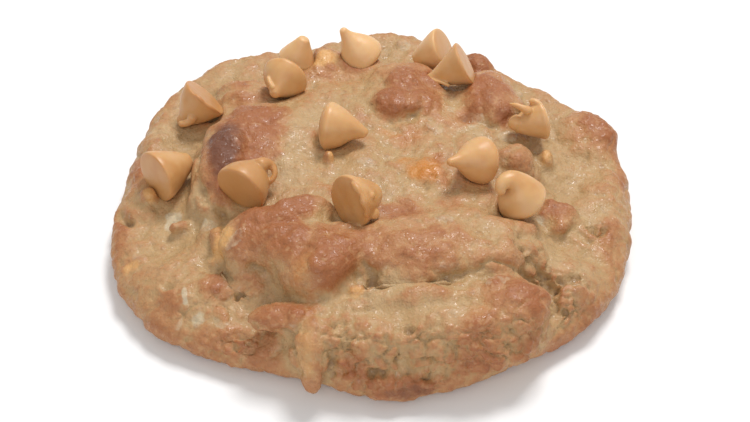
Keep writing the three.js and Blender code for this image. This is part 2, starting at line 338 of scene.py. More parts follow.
class Shader(Graph):
    """A material's node tree."""

    def __init__(self, name: str) -> None:
        """Makes the material, with no nodes in it.

        Args:
            name: the material's name.
        """
        self.material = bpy.data.materials.new(name)
        self.material.use_nodes = True
        self.material.node_tree.nodes.clear()
        super().__init__(self.material.node_tree)

    def place(self) -> Value:
        """The place on the piece."""
        return self.node("ShaderNodeTexCoord", out="Object")

    def stored(self, name: str) -> Value:
        """What is stored on every point under that name."""
        return self.node("ShaderNodeAttribute", {"attribute_name": name}, out="Fac")

    def bump(self, height: Value, strength: float, depth: float) -> Value:
        """The direction that a finely uneven surface faces.

        Args:
            height: how high it is.
            strength: how strongly it shows.
            depth: how deep it is, in millimetres.

        Returns:
            The direction.
        """
        feeds = {"Strength": strength, "Distance": depth * MM, "Height": height}
        return self.node("ShaderNodeBump", {}, feeds, "Normal")

    def done(self, feeds: dict[str, Feed]) -> bpy.types.Material:
        """Ends the tree with a surface.

        Args:
            feeds: the values and links of the surface's sockets.

        Returns:
            The material.
        """
        surface = self.node("ShaderNodeBsdfPrincipled", {"subsurface_method": "RANDOM_WALK"}, feeds)
        self.node("ShaderNodeOutputMaterial", {}, {"Surface": surface})
        return self.material


class Shaper(Graph):
    """A Geometry Nodes tree with named inputs, which turns an object's mesh into a finished plain mesh."""

    KINDS = {float: "NodeSocketFloat", int: "NodeSocketInt", bpy.types.Material: "NodeSocketMaterial"}

    def __init__(self, name: str, sizes: dict[str, Feed]) -> None:
        """Makes the tree and its named inputs.

        Args:
            name: the tree's name.
            sizes: each input's name and usual value.
        """
        super().__init__(bpy.data.node_groups.new(name, "GeometryNodeTree"))
        interface = self.tree.interface
        interface.new_socket("Geometry", in_out="INPUT", socket_type="NodeSocketGeometry")
        interface.new_socket("Geometry", in_out="OUTPUT", socket_type="NodeSocketGeometry")
        self.identifiers: dict[str, str] = {}
        for key, value in sizes.items():
            kind = "NodeSocketObject" if isinstance(value, bpy.types.Object) else self.KINDS[type(value)]
            socket = interface.new_socket(key, in_out="INPUT", socket_type=kind)
            socket.default_value = value
            self.identifiers[key] = socket.identifier
        self.entry = self.tree.nodes.new("NodeGroupInput")
        self.start = Value(self, self.entry.outputs[0])

    def size(self, name: str) -> Value:
        """The tree's input of that name."""
        return Value(self, self.entry.outputs[name])

    def place(self) -> Value:
        """The position of each point."""
        return self.node("GeometryNodeInputPosition")

    def facing(self) -> Value:
        """The direction that each point faces."""
        return self.node("GeometryNodeInputNormal")

    def kept(self, geometry: Value, name: str, value: Value, kind: str = "FLOAT") -> Value:
        """Stores a value on every point.

        Args:
            geometry: the mesh.
            name: the attribute's name.
            value: what is stored.
            kind: the attribute's type.

        Returns:
            The mesh with it.
        """
        feeds = {"Geometry": geometry, "Name": name, "Value": value}
        return self.node("GeometryNodeStoreNamedAttribute", {"data_type": kind, "domain": "POINT"}, feeds)

    def stored(self, name: str, kind: str = "FLOAT") -> Value:
        """Reads what is stored on every point.

        Args:
            name: the attribute's name.
            kind: the attribute's type.

        Returns:
            The stored value.
        """
        return self.node("GeometryNodeInputNamedAttribute", {"data_type": kind}, {"Name": name}, "Attribute")

    def gap_to(self, name: str) -> Value:
        """How far each point is from the object that the input of that name holds, in metres."""
        target = self.node("GeometryNodeObjectInfo", {}, {"Object": self.size(name)}, "Geometry")
        return self.node("GeometryNodeProximity", {"target_element": "FACES"}, {"Target": target}, "Distance")

    def done(self, geometry: Value, finish: bpy.types.Material) -> None:
        """Ends the tree: instances made real, smooth faces and their material.

        Args:
            geometry: what the tree has made.
            finish: the material.
        """
        real = self.node("GeometryNodeRealizeInstances", {}, {"Geometry": geometry})
        smooth = self.node("GeometryNodeSetShadeSmooth", {}, {"Geometry": real})
        dressed = self.node("GeometryNodeSetMaterial", {}, {"Geometry": smooth, "Material": finish})
        output = self.tree.nodes.new("NodeGroupOutput")
        self.tree.links.new(dressed.socket, output.inputs[0])

    def shape(self, piece: bpy.types.Object, sizes: Optional[dict[str, Feed]] = None) -> bpy.types.Object:
        """Runs the tree on an object and leaves it with the resulting plain mesh.

        Args:
            piece: the object.
            sizes: values for the tree's named inputs.

        Returns:
            The same object.
        """
        modifier = piece.modifiers.new(self.tree.name, "NODES")
        modifier.node_group = self.tree
        for name, value in (sizes or {}).items():
            modifier[self.identifiers[name]] = value
        return settled(piece)


def settled(piece: bpy.types.Object) -> bpy.types.Object:
    """Turns what an object's modifiers make into its own plain mesh and takes the modifiers off.

    Args:
        piece: the object.

    Returns:
        The same object.
    """
    bpy.context.view_layer.update()
    depsgraph = bpy.context.evaluated_depsgraph_get()
    shaped = piece.evaluated_get(depsgraph)
    mesh = bpy.data.meshes.new_from_object(shaped, preserve_all_data_layers=True, depsgraph=depsgraph)
    piece.modifiers.clear()
    old = piece.data
    piece.data = mesh
    mesh.name = piece.name
    bpy.data.meshes.remove(old)
    return piece


def placed(name: str, mesh: bpy.types.Mesh) -> bpy.types.Object:
    """A new object in the scene, at the origin.

    Args:
        name: the object's name.
        mesh: its mesh.

    Returns:
        The object.
    """
    piece = bpy.data.objects.new(name, mesh)
    bpy.context.scene.collection.objects.link(piece)
    return piece


def bare(name: str, points: Sequence[Point] = (), edges: Sequence[tuple[int, int]] = ()) -> bpy.types.Object:
    """A new object that holds only points and edges, for a tree to start from.

    Args:
        name: the object's name.
        points: its points in metres.
        edges: pairs of points.

    Returns:
        The object.
    """
    mesh = bpy.data.meshes.new(name)
    mesh.from_pydata(list(points), list(edges), [])
    return placed(name, mesh)


def changed(piece: bpy.types.Object, kind: str, **settings: Any) -> bpy.types.Object:
    """Puts one modifier on an object and applies it.

    Args:
        piece: the object.
        kind: the modifier's type.
        settings: the modifier's properties.

    Returns:
        The same object.
    """
    modifier = piece.modifiers.new(kind, kind)
    for name, value in settings.items():
        setattr(modifier, name, value)
    return settled(piece)


def skinned(piece: bpy.types.Object, voxel: float, smoothing: int) -> bpy.types.Object:
    """Gives an object one closed skin of even fineness and smooths it.

    Args:
        piece: the object.
        voxel: how fine the skin is, in millimetres.
        smoothing: how often it is smoothed.

    Returns:
        The same object.
    """
    changed(piece, "REMESH", mode="VOXEL", voxel_size=voxel * MM, use_smooth_shade=True)
    return changed(piece, "SMOOTH", factor=0.5, iterations=smoothing)


def joined(pieces: Sequence[bpy.types.Object]) -> bpy.types.Object:
    """Joins objects.

    Args:
        pieces: the objects, of which only the first is left.

    Returns:
        The first one, with all their meshes.
    """
    with bpy.context.temp_override(active_object=pieces[0], selected_editable_objects=list(pieces)):
        bpy.ops.object.join()
    return pieces[0]


def places(mesh: bpy.types.Mesh) -> np.ndarray:
    """Every point of a mesh, in millimetres."""
    flat = np.empty(len(mesh.vertices) * 3)
    mesh.vertices.foreach_get("co", flat)
    return flat.reshape(-1, 3) / MM


def facings(mesh: bpy.types.Mesh) -> np.ndarray:
    """The direction that every point of a mesh faces."""
    flat = np.empty(len(mesh.vertices) * 3, dtype=np.float32)
    mesh.vertex_normals.foreach_get("vector", flat)
    return flat.reshape(-1, 3).astype(float)


def move(mesh: bpy.types.Mesh, points: np.ndarray) -> None:
    """Puts a mesh's points at new places.

    Args:
        mesh: the mesh.
        points: the places in millimetres.
    """
    mesh.vertices.foreach_set("co", (points * MM).ravel())
    mesh.update()


def keep(mesh: bpy.types.Mesh, name: str, values: np.ndarray) -> None:
    """Stores a number on every point of a mesh.

    Args:
        mesh: the mesh.
        name: the attribute's name.
        values: the numbers.
    """
    attribute = mesh.attributes.get(name) or mesh.attributes.new(name, "FLOAT", "POINT")
    attribute.data.foreach_set("value", values.astype(np.float32))


def recall(mesh: bpy.types.Mesh, name: str) -> np.ndarray:
    """What is stored on every point of a mesh.

    Args:
        mesh: the mesh.
        name: the attribute's name.

    Returns:
        One number for each point, or three where vectors are stored.
    """
    attribute = mesh.attributes[name]
    if attribute.data_type == "FLOAT":
        values = np.empty(len(mesh.vertices), dtype=np.float32)
        attribute.data.foreach_get("value", values)
        return values.astype(float)
    flat = np.empty(len(mesh.vertices) * 3, dtype=np.float32)
    attribute.data.foreach_get("vector", flat)
    return flat.reshape(-1, 3).astype(float)


def smooth_rise(start: float, end: float, value: np.ndarray) -> np.ndarray:
    """A smooth step.

    Args:
        start: where it leaves 0.
        end: where it reaches 1.
        value: where it is read.

    Returns:
        Numbers from 0 to 1.
    """
    share = np.clip((value - start) / (end - start), 0.0, 1.0)
    return share * share * (3.0 - 2.0 * share)


# ----------------------------------------------------------------------------------------------------
# Finishes


class Tone(Enum):
    """What a patch of the dough looks like; the value is the name of its attribute."""

    BROWN = "baked"
    # Scorched crust, and also painted shade at the foot of the front wall and under a chip.
    DARK = "scorched"
    PALE = "moist"
    GREY = "oat"
    AMBER = "candy"
    BUTTER = "butter"
    CRUMB = "crumbly"
    CALM = "calm"


# The looks that are colours; the others only shape the crust.
PAINTED = (Tone.BROWN, Tone.DARK, Tone.PALE, Tone.GREY, Tone.AMBER, Tone.BUTTER)


@dataclass(frozen=True)
class Coat:
    """A colour that covers the crust where a look is strong.

    Attributes:
        tone: which look.
        colour: its colour.
        blotch: how much the blotches break up its edge.
        freckle: how much the freckles break it up.
        start: how strong the look is where the colour sets in.
        end: how strong it is where the colour is full.
        share: how much it covers there.
    """

    tone: Tone
    colour: Colour
    blotch: float
    freckle: float
    start: float
    end: float
    share: float


@dataclass(frozen=True)
class DoughFinish:
    """Baked oat dough: khaki where it is moist, tan on the crust, red brown on what baked hardest.

    Attributes:
        moist: the palest low dough.
        plain: the crust of the plain top.
        tan: lightly browned crust.
        brown: well browned crust.
        crease: the painted shade deep in cracks and pits, also used for the darker mottles that lie at
            random.
        fat: the pale fatty film on the crumb.
        tanning: how baked the crust is where it starts to be tan, and where it is wholly tan.
        browning: the same for brown.
        moistening: how moist it is where it starts to be paler, and where it is palest.
        drying: how baked it is where nothing moist shows, and where all of it does.
        coats: the darkest spots, which are scorched crust and some painted shade, oat flakes that show
            through,
        butterscotch that has melted into the crust, and crushed butterscotch, which is paler.
        deep: how far a crack stands out, in tenths of a millimetre, where its painted shade starts, and where
            it is darkest.
        crease_shade_and_mottle_share: how much of the crease colour goes into cracks as painted shade, and
            how much into the darker mottles, which lie at random.
        fat_share: how much of the film there is, and how much less on the darkest spots, scorched and shaded.
        blotch: the size of the blotches, in millimetres.
        freckle: the size of the freckles.
        grain: the size of the finest specks.
        mottle: the size of the film's spots.
        shine: the size of the moist places.
        glints: how many glints there are along a metre.
        crumb: the sizes of the knobs, the grit and the grains of the crumb.
        roughness: how matt the crust is where it is neither moist nor glazed.
        bump: how deep the finest relief is, in millimetres.
    """

    moist: Colour = tint(184, 152, 109)
    plain: Colour = tint(181, 147, 102)
    tan: Colour = tint(180, 128, 83)
    brown: Colour = tint(158, 96, 54)
    # Painted shade for cracks and pits, and also the colour of the random darker mottles.
    crease: Colour = tint(106, 68, 42)
    fat: Colour = tint(220, 186, 138)
    tanning: tuple[float, float] = (0.05, 0.5)
    browning: tuple[float, float] = (0.32, 0.84)
    moistening: tuple[float, float] = (0.15, 0.85)
    drying: tuple[float, float] = (0.6, 0.2)
    coats: tuple[Coat, ...] = (
        # Scorched crust, and painted shade at the foot of the front wall and under a chip.
        Coat(Tone.DARK, tint(110, 64, 40), 0.4, 0.3, 0.15, 0.95, 1.0),
        Coat(Tone.GREY, tint(202, 186, 156), 0.5, 0.4, 0.3, 0.7, 0.75),
        Coat(Tone.AMBER, tint(194, 122, 42), 0.5, 0.3, 0.1, 1.05, 0.9),
        Coat(Tone.BUTTER, tint(214, 164, 102), 0.4, 0.2, 0.15, 0.85, 0.9),
    )
    deep: tuple[float, float] = (-1.5, -7.0)
    crease_shade_and_mottle_share: tuple[float, float] = (0.42, 0.22)
    fat_share: tuple[float, float] = (0.24, 0.18)
    blotch: float = 2.6
    freckle: float = 0.9
    grain: float = 0.42
    mottle: float = 1.1
    shine: float = 3.2
    glints: float = 1400.0
    crumb: tuple[float, float, float] = (0.8, 0.33, 0.55)
    roughness: float = 0.64
    bump: float = 0.2

    def material(self) -> bpy.types.Material:
        """Builds the shader.

        Returns:
            The material.
        """
        graph = Shader("dough")
        place = graph.place()
        stored = {tone: graph.stored(tone.value) for tone in PAINTED}
        crest = graph.stored("crest")
        blotch = graph.noise(place, self.blotch, 3.0, seed=1.0) - 0.5
        freckle = graph.noise(place, self.freckle, 2.0, seed=2.0) - 0.5
        grain = graph.noise(place, self.grain, 2.0, seed=3.0) - 0.5
        baked = stored[Tone.BROWN] + 0.3 * blotch + 0.26 * freckle + 0.16 * grain + 0.05 * crest
        moist = stored[Tone.PALE] + 0.3 * blotch + 0.2 * freckle
        colour = graph.blend(baked.rise(*self.tanning), self.plain, self.tan)
        colour = graph.blend(moist.rise(*self.moistening) * baked.rise(*self.drying), colour, self.moist)
        colour = graph.blend(baked.rise(*self.browning), colour, self.brown)
        masks: dict[Tone, Value] = {}
        for coat in self.coats:
            look = stored[coat.tone] + coat.blotch * blotch + coat.freckle * freckle
            masks[coat.tone] = look.rise(coat.start, coat.end)
            colour = graph.blend(masks[coat.tone] * coat.share, colour, coat.colour)
        # Painted shade: cracks and pits are darkened by how far they lie below their surroundings.
        colour = graph.blend(crest.rise(*self.deep) * self.crease_shade_and_mottle_share[0], colour, self.crease)
        mottle = graph.noise(place, self.mottle, 3.0, seed=4.0)
        colour = graph.blend(mottle.rise(0.46, 0.3) * self.crease_shade_and_mottle_share[1], colour, self.crease)
        film = self.fat_share[0] - self.fat_share[1] * masks[Tone.DARK]
        colour = graph.blend(mottle.rise(0.54, 0.72) * film, colour, self.fat)
        moisture = graph.noise(place, self.shine, 2.0, seed=5.0).rise(0.42, 0.66)
        feeds = {"Vector": place, "Scale": self.glints, "Detail": 1.0}
        glaze = graph.node("ShaderNodeTexNoise", {}, feeds, "Fac").rise(0.52, 0.66)
        knobs, grit, grains = self.crumb
        fine = graph.noise(place, knobs, 3.0, seed=6.0) + 0.5 * graph.noise(place, grit, 1.0, seed=7.0)
        fine = fine - 0.5 * graph.cells(place, grains, "F1")
        return graph.done(
            {
                "Base Color": colour,
                "Roughness": self.roughness - 0.16 * moisture - 0.32 * glaze - 0.1 * masks[Tone.AMBER],
                "Normal": graph.bump(fine, 0.85, self.bump),
                "Specular IOR Level": 0.5,
                "Subsurface Weight": 0.12,
                "Subsurface Radius": (1.0, 0.5, 0.25),
                "Subsurface Scale": 1.2 * MM,
            }
        )


@dataclass(frozen=True)
class ButterscotchFinish:
    """Butterscotch chips: smooth light caramel with a soft gloss.

    Attributes:
        body: the usual colour.
        pale: where the surface has bloomed.
        deep: where it melted.
        hazy_and_painted_light: a chip drawn paler all over, for bloom and as painted light.
        toasted_and_shaded: a chip drawn darker, for baking and as painted shade, and the painted shade on
            the flat base of any chip.
        roughness: how matt it is.
        unevenness: how far that varies.
        cloud: the size of the paler and deeper clouds, in millimetres.
        smear: the size of the places that are more or less matt.
        waves: size and depth of the finest relief, in millimetres.
    """

    body: Colour = tint(207, 157, 100)
    pale: Colour = tint(212, 168, 117)
    deep: Colour = tint(192, 134, 76)
    hazy_and_painted_light: Colour = tint(232, 190, 138)
    toasted_and_shaded: Colour = tint(184, 128, 72)
    roughness: float = 0.42
    unevenness: float = 0.18
    cloud: float = 5.0
    smear: float = 2.2
    waves: tuple[float, float] = (1.6, 0.1)

    def material(self) -> bpy.types.Material:
        """Builds the shader.

        Returns:
            The material.
        """
        graph = Shader("butterscotch")
        place = graph.place()
        cloud = graph.noise(place, self.cloud, 2.0, seed=1.0)
        colour = graph.blend(cloud.rise(0.4, 0.7), self.body, self.pale)
        colour = graph.blend(cloud.rise(0.5, 0.28) * 0.7, colour, self.deep)
        # Painted light and shade: each chip is drawn paler where it looked lit and darker where it looked
        # shaded, together with its real bloom and baking, and its flat base is darkened as painted shade.
        bloom = graph.stored("bloom")
        colour = graph.blend(bloom.rise(0.0, 1.0) * 0.8, colour, self.hazy_and_painted_light)
        colour = graph.blend(bloom.rise(0.0, -1.0) * 0.65, colour, self.toasted_and_shaded)
        colour = graph.blend(graph.stored("base") * 0.5, colour, self.toasted_and_shaded)
        smear = graph.noise(place, self.smear, 2.0, seed=2.0)
        waves = graph.noise(place, self.waves[0], 2.0, seed=3.0)
        return graph.done(
            {
                "Base Color": colour,
                "Roughness": self.roughness + self.unevenness * (smear - 0.5),
                "Normal": graph.bump(waves, 0.3, self.waves[1]),
                "Subsurface Weight": 0.25,
                "Subsurface Radius": (1.0, 0.45, 0.15),
                "Subsurface Scale": 2.0 * MM,
            }
        )


@dataclass(frozen=True)
class PlainFinish:
    """The pale floor.

    Attributes:
        colour: its colour.
        roughness: how matt it is.
    """

    colour: Colour = (0.9, 0.9, 0.9)
    roughness: float = 0.9

    def material(self) -> bpy.types.Material:
        """Builds the shader.

        Returns:
            The material.
        """
        return Shader("floor").done({"Base Color": self.colour, "Roughness": self.roughness})


# ----------------------------------------------------------------------------------------------------
# The baking chips


@dataclass(frozen=True)
class Strand:
    """A thin run of melted butterscotch.

    Attributes:
        points: where it goes, in millimetres.
        thickness: its radius at each point, in millimetres.
    """

    points: tuple[Point, ...]
    thickness: tuple[float, ...]


@dataclass(frozen=True)
class Chip:
    """One baking chip, in the place of its CAD solid.

    Attributes:
        at: the middle of its base, in millimetres.
        heading: degrees from +X towards +Y that its tip points.
        dip: degrees that its tip points down.
        radius: the radius of its base.
        length: from its base to its tip.
        curl: degrees that the tip curls.
        curl_to: degrees round the axis from the upper side that it curls towards.
        fullness: how much of a plain cone it is, from 0 for a drawn-out tip to 1.
        softness: how rounded the edge of its base is, from 0 to 1.
        lumpiness: how many times more uneven than usual it is.
        waist: how much slimmer it is half-way to its tip.
        bloom: how pale it is drawn, from -1, darker than usual, to 1; this is its bloom
        and baking, and also painted light and shade for how lit it is.
        strands: melted threads on it.
    """

    at: Point
    heading: float
    dip: float
    radius: float
    length: float
    curl: float = 0.0
    curl_to: float = 0.0
    fullness: float = 0.5
    softness: float = 0.2
    lumpiness: float = 1.0
    waist: float = 0.0
    bloom: float = 0.0
    strands: tuple[Strand, ...] = ()

    def frame(self) -> Matrix:
        """Where the chip goes: its upper side, its right-hand side and its axis, at its base.

        Returns:
            The placing matrix in metres.
        """
        heading, dip = math.radians(self.heading), math.radians(self.dip)
        flat = math.cos(dip)
        axis = Vector((math.cos(heading) * flat, math.sin(heading) * flat, -math.sin(dip)))
        left = Vector((-math.sin(heading), math.cos(heading), 0.0))
        above = axis.cross(left)
        turned = Matrix((above, -left, axis)).transposed().to_4x4()
        middle = Vector(self.at) - Vector((*BOX_MIDDLE, 0.0))
        return Matrix.Translation(middle * MM) @ turned


@dataclass
class Chips:
    """All the baking chips: each a lathed drop with a flat base, a curling tip and what has melted.

    Attributes:
        finish: the butterscotch.
        table: the chips in the order of their nodes.
        stations: shares of the spine's points, from the middle of the base to the tip.
        crisp: the share of the length that is reached at each, with a sharp edge round the base.
        rounded: the same with a soft edge.
        slim: the share of the base radius there on a chip with a drawn-out tip.
        full: the same on a plain cone.
        bend_start: the share of the length where the tip starts to curl.
        bend_power: how suddenly it curls.
        rings: how many points the spine has.
        sides: how many points go round it.
        weld: how near each other the points at both ends of the spine are merged, in millimetres.
        unevenness: size and height of the swells in the surface.
        voxel: the fineness of a chip that has melted threads, in millimetres.
        smoothing: how often such a chip is smoothed.
        base_shade_edge: how far from its base the painted shade on the base is whole, and how far there is
        still a little of it.
        pieces: the finished chips.
    """

    finish: ButterscotchFinish
    table: tuple[Chip, ...]
    stations: tuple[float, ...] = (
        0.0, 0.07, 0.14, 0.165, 0.19, 0.24, 0.34, 0.45,
        0.56, 0.67, 0.78, 0.88, 0.94, 0.98, 1.0,
    )
    crisp: tuple[float, ...] = (
        0.0, 0.001, 0.003, 0.014, 0.036, 0.11, 0.27, 0.43,
        0.575, 0.705, 0.815, 0.905, 0.955, 0.987, 1.0,
    )
    rounded: tuple[float, ...] = (
        0.0, 0.03, 0.125, 0.155, 0.18, 0.22, 0.31, 0.44,
        0.575, 0.705, 0.815, 0.905, 0.955, 0.987, 1.0,
    )
    slim: tuple[float, ...] = (
        0.0, 0.5, 0.92, 0.965, 0.99, 1.0, 0.96, 0.84,
        0.62, 0.39, 0.235, 0.165, 0.135, 0.08, 0.0,
    )
    full: tuple[float, ...] = (
        0.0, 0.5, 0.94, 0.985, 1.0, 0.99, 0.9, 0.79,
        0.68, 0.57, 0.47, 0.38, 0.32, 0.2, 0.0,
    )
    bend_start: float = 0.35
    bend_power: float = 3.0
    rings: int = 90
    sides: int = 56
    weld: float = 0.002
    unevenness: tuple[float, float] = (4.0, 0.25)
    voxel: float = 0.17
    smoothing: int = 3
    base_shade_edge: tuple[float, float] = (0.25, 0.625)
    pieces: list[bpy.types.Object] = field(default_factory=list)

    def build(self) -> None:
        """Builds every chip and puts it in the place of its CAD node."""
        material = self.finish.material()
        body = self.body_tree(material)
        thread = self.thread_tree(material)
        for number, chip in enumerate(self.table, start=1):
            piece = self.body(body, chip, number)
            if chip.strands:
                threads = [self.thread(thread, strand, number) for strand in chip.strands]
                piece = self.melted(piece, threads)
            self.shaded(piece, chip)
            node = f"chip_{number:02d}"
            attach(piece, "root")
            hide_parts(node)
            self.pieces.append(piece)
            LOG.info("%s: %d faces", piece.name, len(piece.data.polygons))

    def body_tree(self, material: bpy.types.Material) -> Shaper:
        """The tree that turns a line into a chip along +Z, with its base at the origin.

        Args:
            material: the butterscotch.

        Returns:
            The tree.
        """
        sizes = {"Radius": 0.005, "Length": 0.01, "Fullness": 0.5, "Softness": 0.0}
        sizes |= {"Curl": 0.0, "Curl to": 0.0, "Waist": 0.0, "Unevenness": 0.0001, "Seed": 0.0}
        tree = Shaper("baking chip", sizes)
        line = tree.node("GeometryNodeCurvePrimitiveLine", out="Curve")
        feeds = {"Curve": line, "Count": self.rings}
        spine = tree.node("GeometryNodeResampleCurve", {"mode": "COUNT"}, feeds)
        index = tree.node("GeometryNodeInputIndex")
        share = index / (self.rings - 1.0)
        crisp, rounded, slim, full = (
            tree.node("ShaderNodeFloatCurve", {"bends": tuple(zip(self.stations, shares))}, {"Value": share})
            for shares in (self.crisp, self.rounded, self.slim, self.full)
        )
        reached = crisp + (rounded - crisp) * tree.size("Softness")
        settings = {"data_type": "FLOAT", "domain": "POINT"}
        feeds = {"Value": reached, "Index": (index - 1.0).most(0.0)}
        before = tree.node("GeometryNodeFieldAtIndex", settings, feeds)
        step = (reached - before) * tree.size("Length")
        bent = ((0.5 * (reached + before) - self.bend_start) / (1.0 - self.bend_start)).most(0.0)
        turn = tree.size("Curl") * bent**self.bend_power
        across = step * turn.sine()
        along = step * turn.cosine()
        side, height = (
            tree.node("GeometryNodeAccumulateField", settings, {"Value": part}, "Leading")
            for part in (across, along)
        )
        to = tree.size("Curl to")
        feeds = {"X": side * to.cosine(), "Y": side * to.sine(), "Z": height}
        feeds = {"Geometry": spine, "Position": tree.node("ShaderNodeCombineXYZ", {}, feeds)}
        curled = tree.node("GeometryNodeSetPosition", {}, feeds)
        girth = slim + (full - slim) * tree.size("Fullness")
        girth = girth * (1.0 - tree.size("Waist") * 4.0 * reached * (1.0 - reached))
        feeds = {"Resolution": self.sides, "Radius": 1.0}
        ring = tree.node("GeometryNodeCurvePrimitiveCircle", {"mode": "RADIUS"}, feeds)
        feeds = {"Curve": curled, "Profile Curve": ring, "Scale": girth * tree.size("Radius")}
        skin = tree.node("GeometryNodeCurveToMesh", {}, feeds)
        closed = tree.node("GeometryNodeMergeByDistance", {}, {"Geometry": skin, "Distance": self.weld * MM})
        away = tree.vectors("SCALE", (1.0, 1.0, 1.0), scale=tree.size("Seed"))
        shifted = tree.vectors("ADD", tree.place(), away)
        wander = tree.noise(shifted, self.unevenness[0], 2.0) - 0.5
        offset = tree.vectors("SCALE", tree.facing(), scale=wander * tree.size("Unevenness"))
        tree.done(tree.node("GeometryNodeSetPosition", {}, {"Geometry": closed, "Offset": offset}), material)
        return tree

    def thread_tree(self, material: bpy.types.Material) -> Shaper:
        """The tree that turns a row of points into a tapering thread with round ends.

        Args:
            material: the butterscotch.

        Returns:
            The tree.
        """
        tree = Shaper("melted thread", {"Sides": 14, "Points": 48})
        path = tree.node("GeometryNodeMeshToCurve", {}, {"Mesh": tree.start})
        soft = tree.node("GeometryNodeCurveSplineType", {"spline_type": "CATMULL_ROM"}, {"Curve": path})
        feeds = {"Curve": soft, "Count": tree.size("Points")}
        even = tree.node("GeometryNodeResampleCurve", {"mode": "COUNT"}, feeds)
        feeds = {"Resolution": tree.size("Sides"), "Radius": 1.0}
        ring = tree.node("GeometryNodeCurvePrimitiveCircle", {"mode": "RADIUS"}, feeds)
        girth = tree.stored("thickness")
        done = tree.node("GeometryNodeSplineParameter", out="Length")
        left = tree.node("GeometryNodeSplineLength", out="Length") - done
        short = (1.0 - done.least(left) / girth).most(0.0)
        girth = girth * (1.0 - short * short).most(0.01) ** 0.5
        feeds = {"Curve": even, "Profile Curve": ring, "Scale": girth, "Fill Caps": True}
        tree.done(tree.node("GeometryNodeCurveToMesh", {}, feeds), material)
        return tree

    def body(self, tree: Shaper, chip: Chip, number: int) -> bpy.types.Object:
        """Makes one chip's body in its place.

        Args:
            tree: the chip tree.
            chip: its sizes.
            number: its number, which also seeds its unevenness.

        Returns:
            The piece.
        """
        piece = bare(f"butterscotch_chip_{number:02d}", [(0.0, 0.0, 0.0)])
        sizes = {
            "Radius": chip.radius * MM,
            "Length": chip.length * MM,
            "Fullness": chip.fullness,
            "Softness": chip.softness,
            "Waist": chip.waist,
            "Curl": math.radians(chip.curl),
            "Curl to": math.radians(chip.curl_to),
            "Unevenness": self.unevenness[1] * chip.lumpiness * MM,
            "Seed": 0.37 * number,
        }
        tree.shape(piece, sizes)
        piece.data.transform(chip.frame())
        return piece

    def thread(self, tree: Shaper, strand: Strand, number: int) -> bpy.types.Object:
        """Makes one melted thread.

        Args:
            tree: the thread tree.
            strand: its path.
            number: the chip's number.

        Returns:
            The thread, still a piece of its own.
        """
        points = [(x * MM, y * MM, z * MM) for x, y, z in strand.points]
        piece = bare(f"thread_{number}", points, [(i, i + 1) for i in range(len(points) - 1)])
        keep(piece.data, "thickness", np.array(strand.thickness) * MM)
        return tree.shape(piece)

    def melted(self, piece: bpy.types.Object, threads: list[bpy.types.Object]) -> bpy.types.Object:
        """Melts a chip and its threads into one closed skin.

        Args:
            piece: the chip.
            threads: its threads, which are used up.

        Returns:
            The chip.
        """
        for thread in threads:
            joined([piece, thread])
        return skinned(piece, self.voxel, self.smoothing)

    def shaded(self, piece: bpy.types.Object, chip: Chip) -> None:
        """Stores how pale a chip is drawn, with its painted light and shade, and where its base gets painted
        shade.

        Args:
            piece: the chip.
            chip: its sizes.
        """
        points = places(piece.data)
        place = np.array(chip.frame().inverted())
        inward = (points * MM) @ place[2, :3] / MM + place[2, 3] / MM
        # Painted shade on the flat base, and the chip's paleness, which holds painted light and shade.
        keep(piece.data, "base", 1.0 - smooth_rise(*self.base_shade_edge, inward))
        keep(piece.data, "bloom", np.full(len(points), chip.bloom))


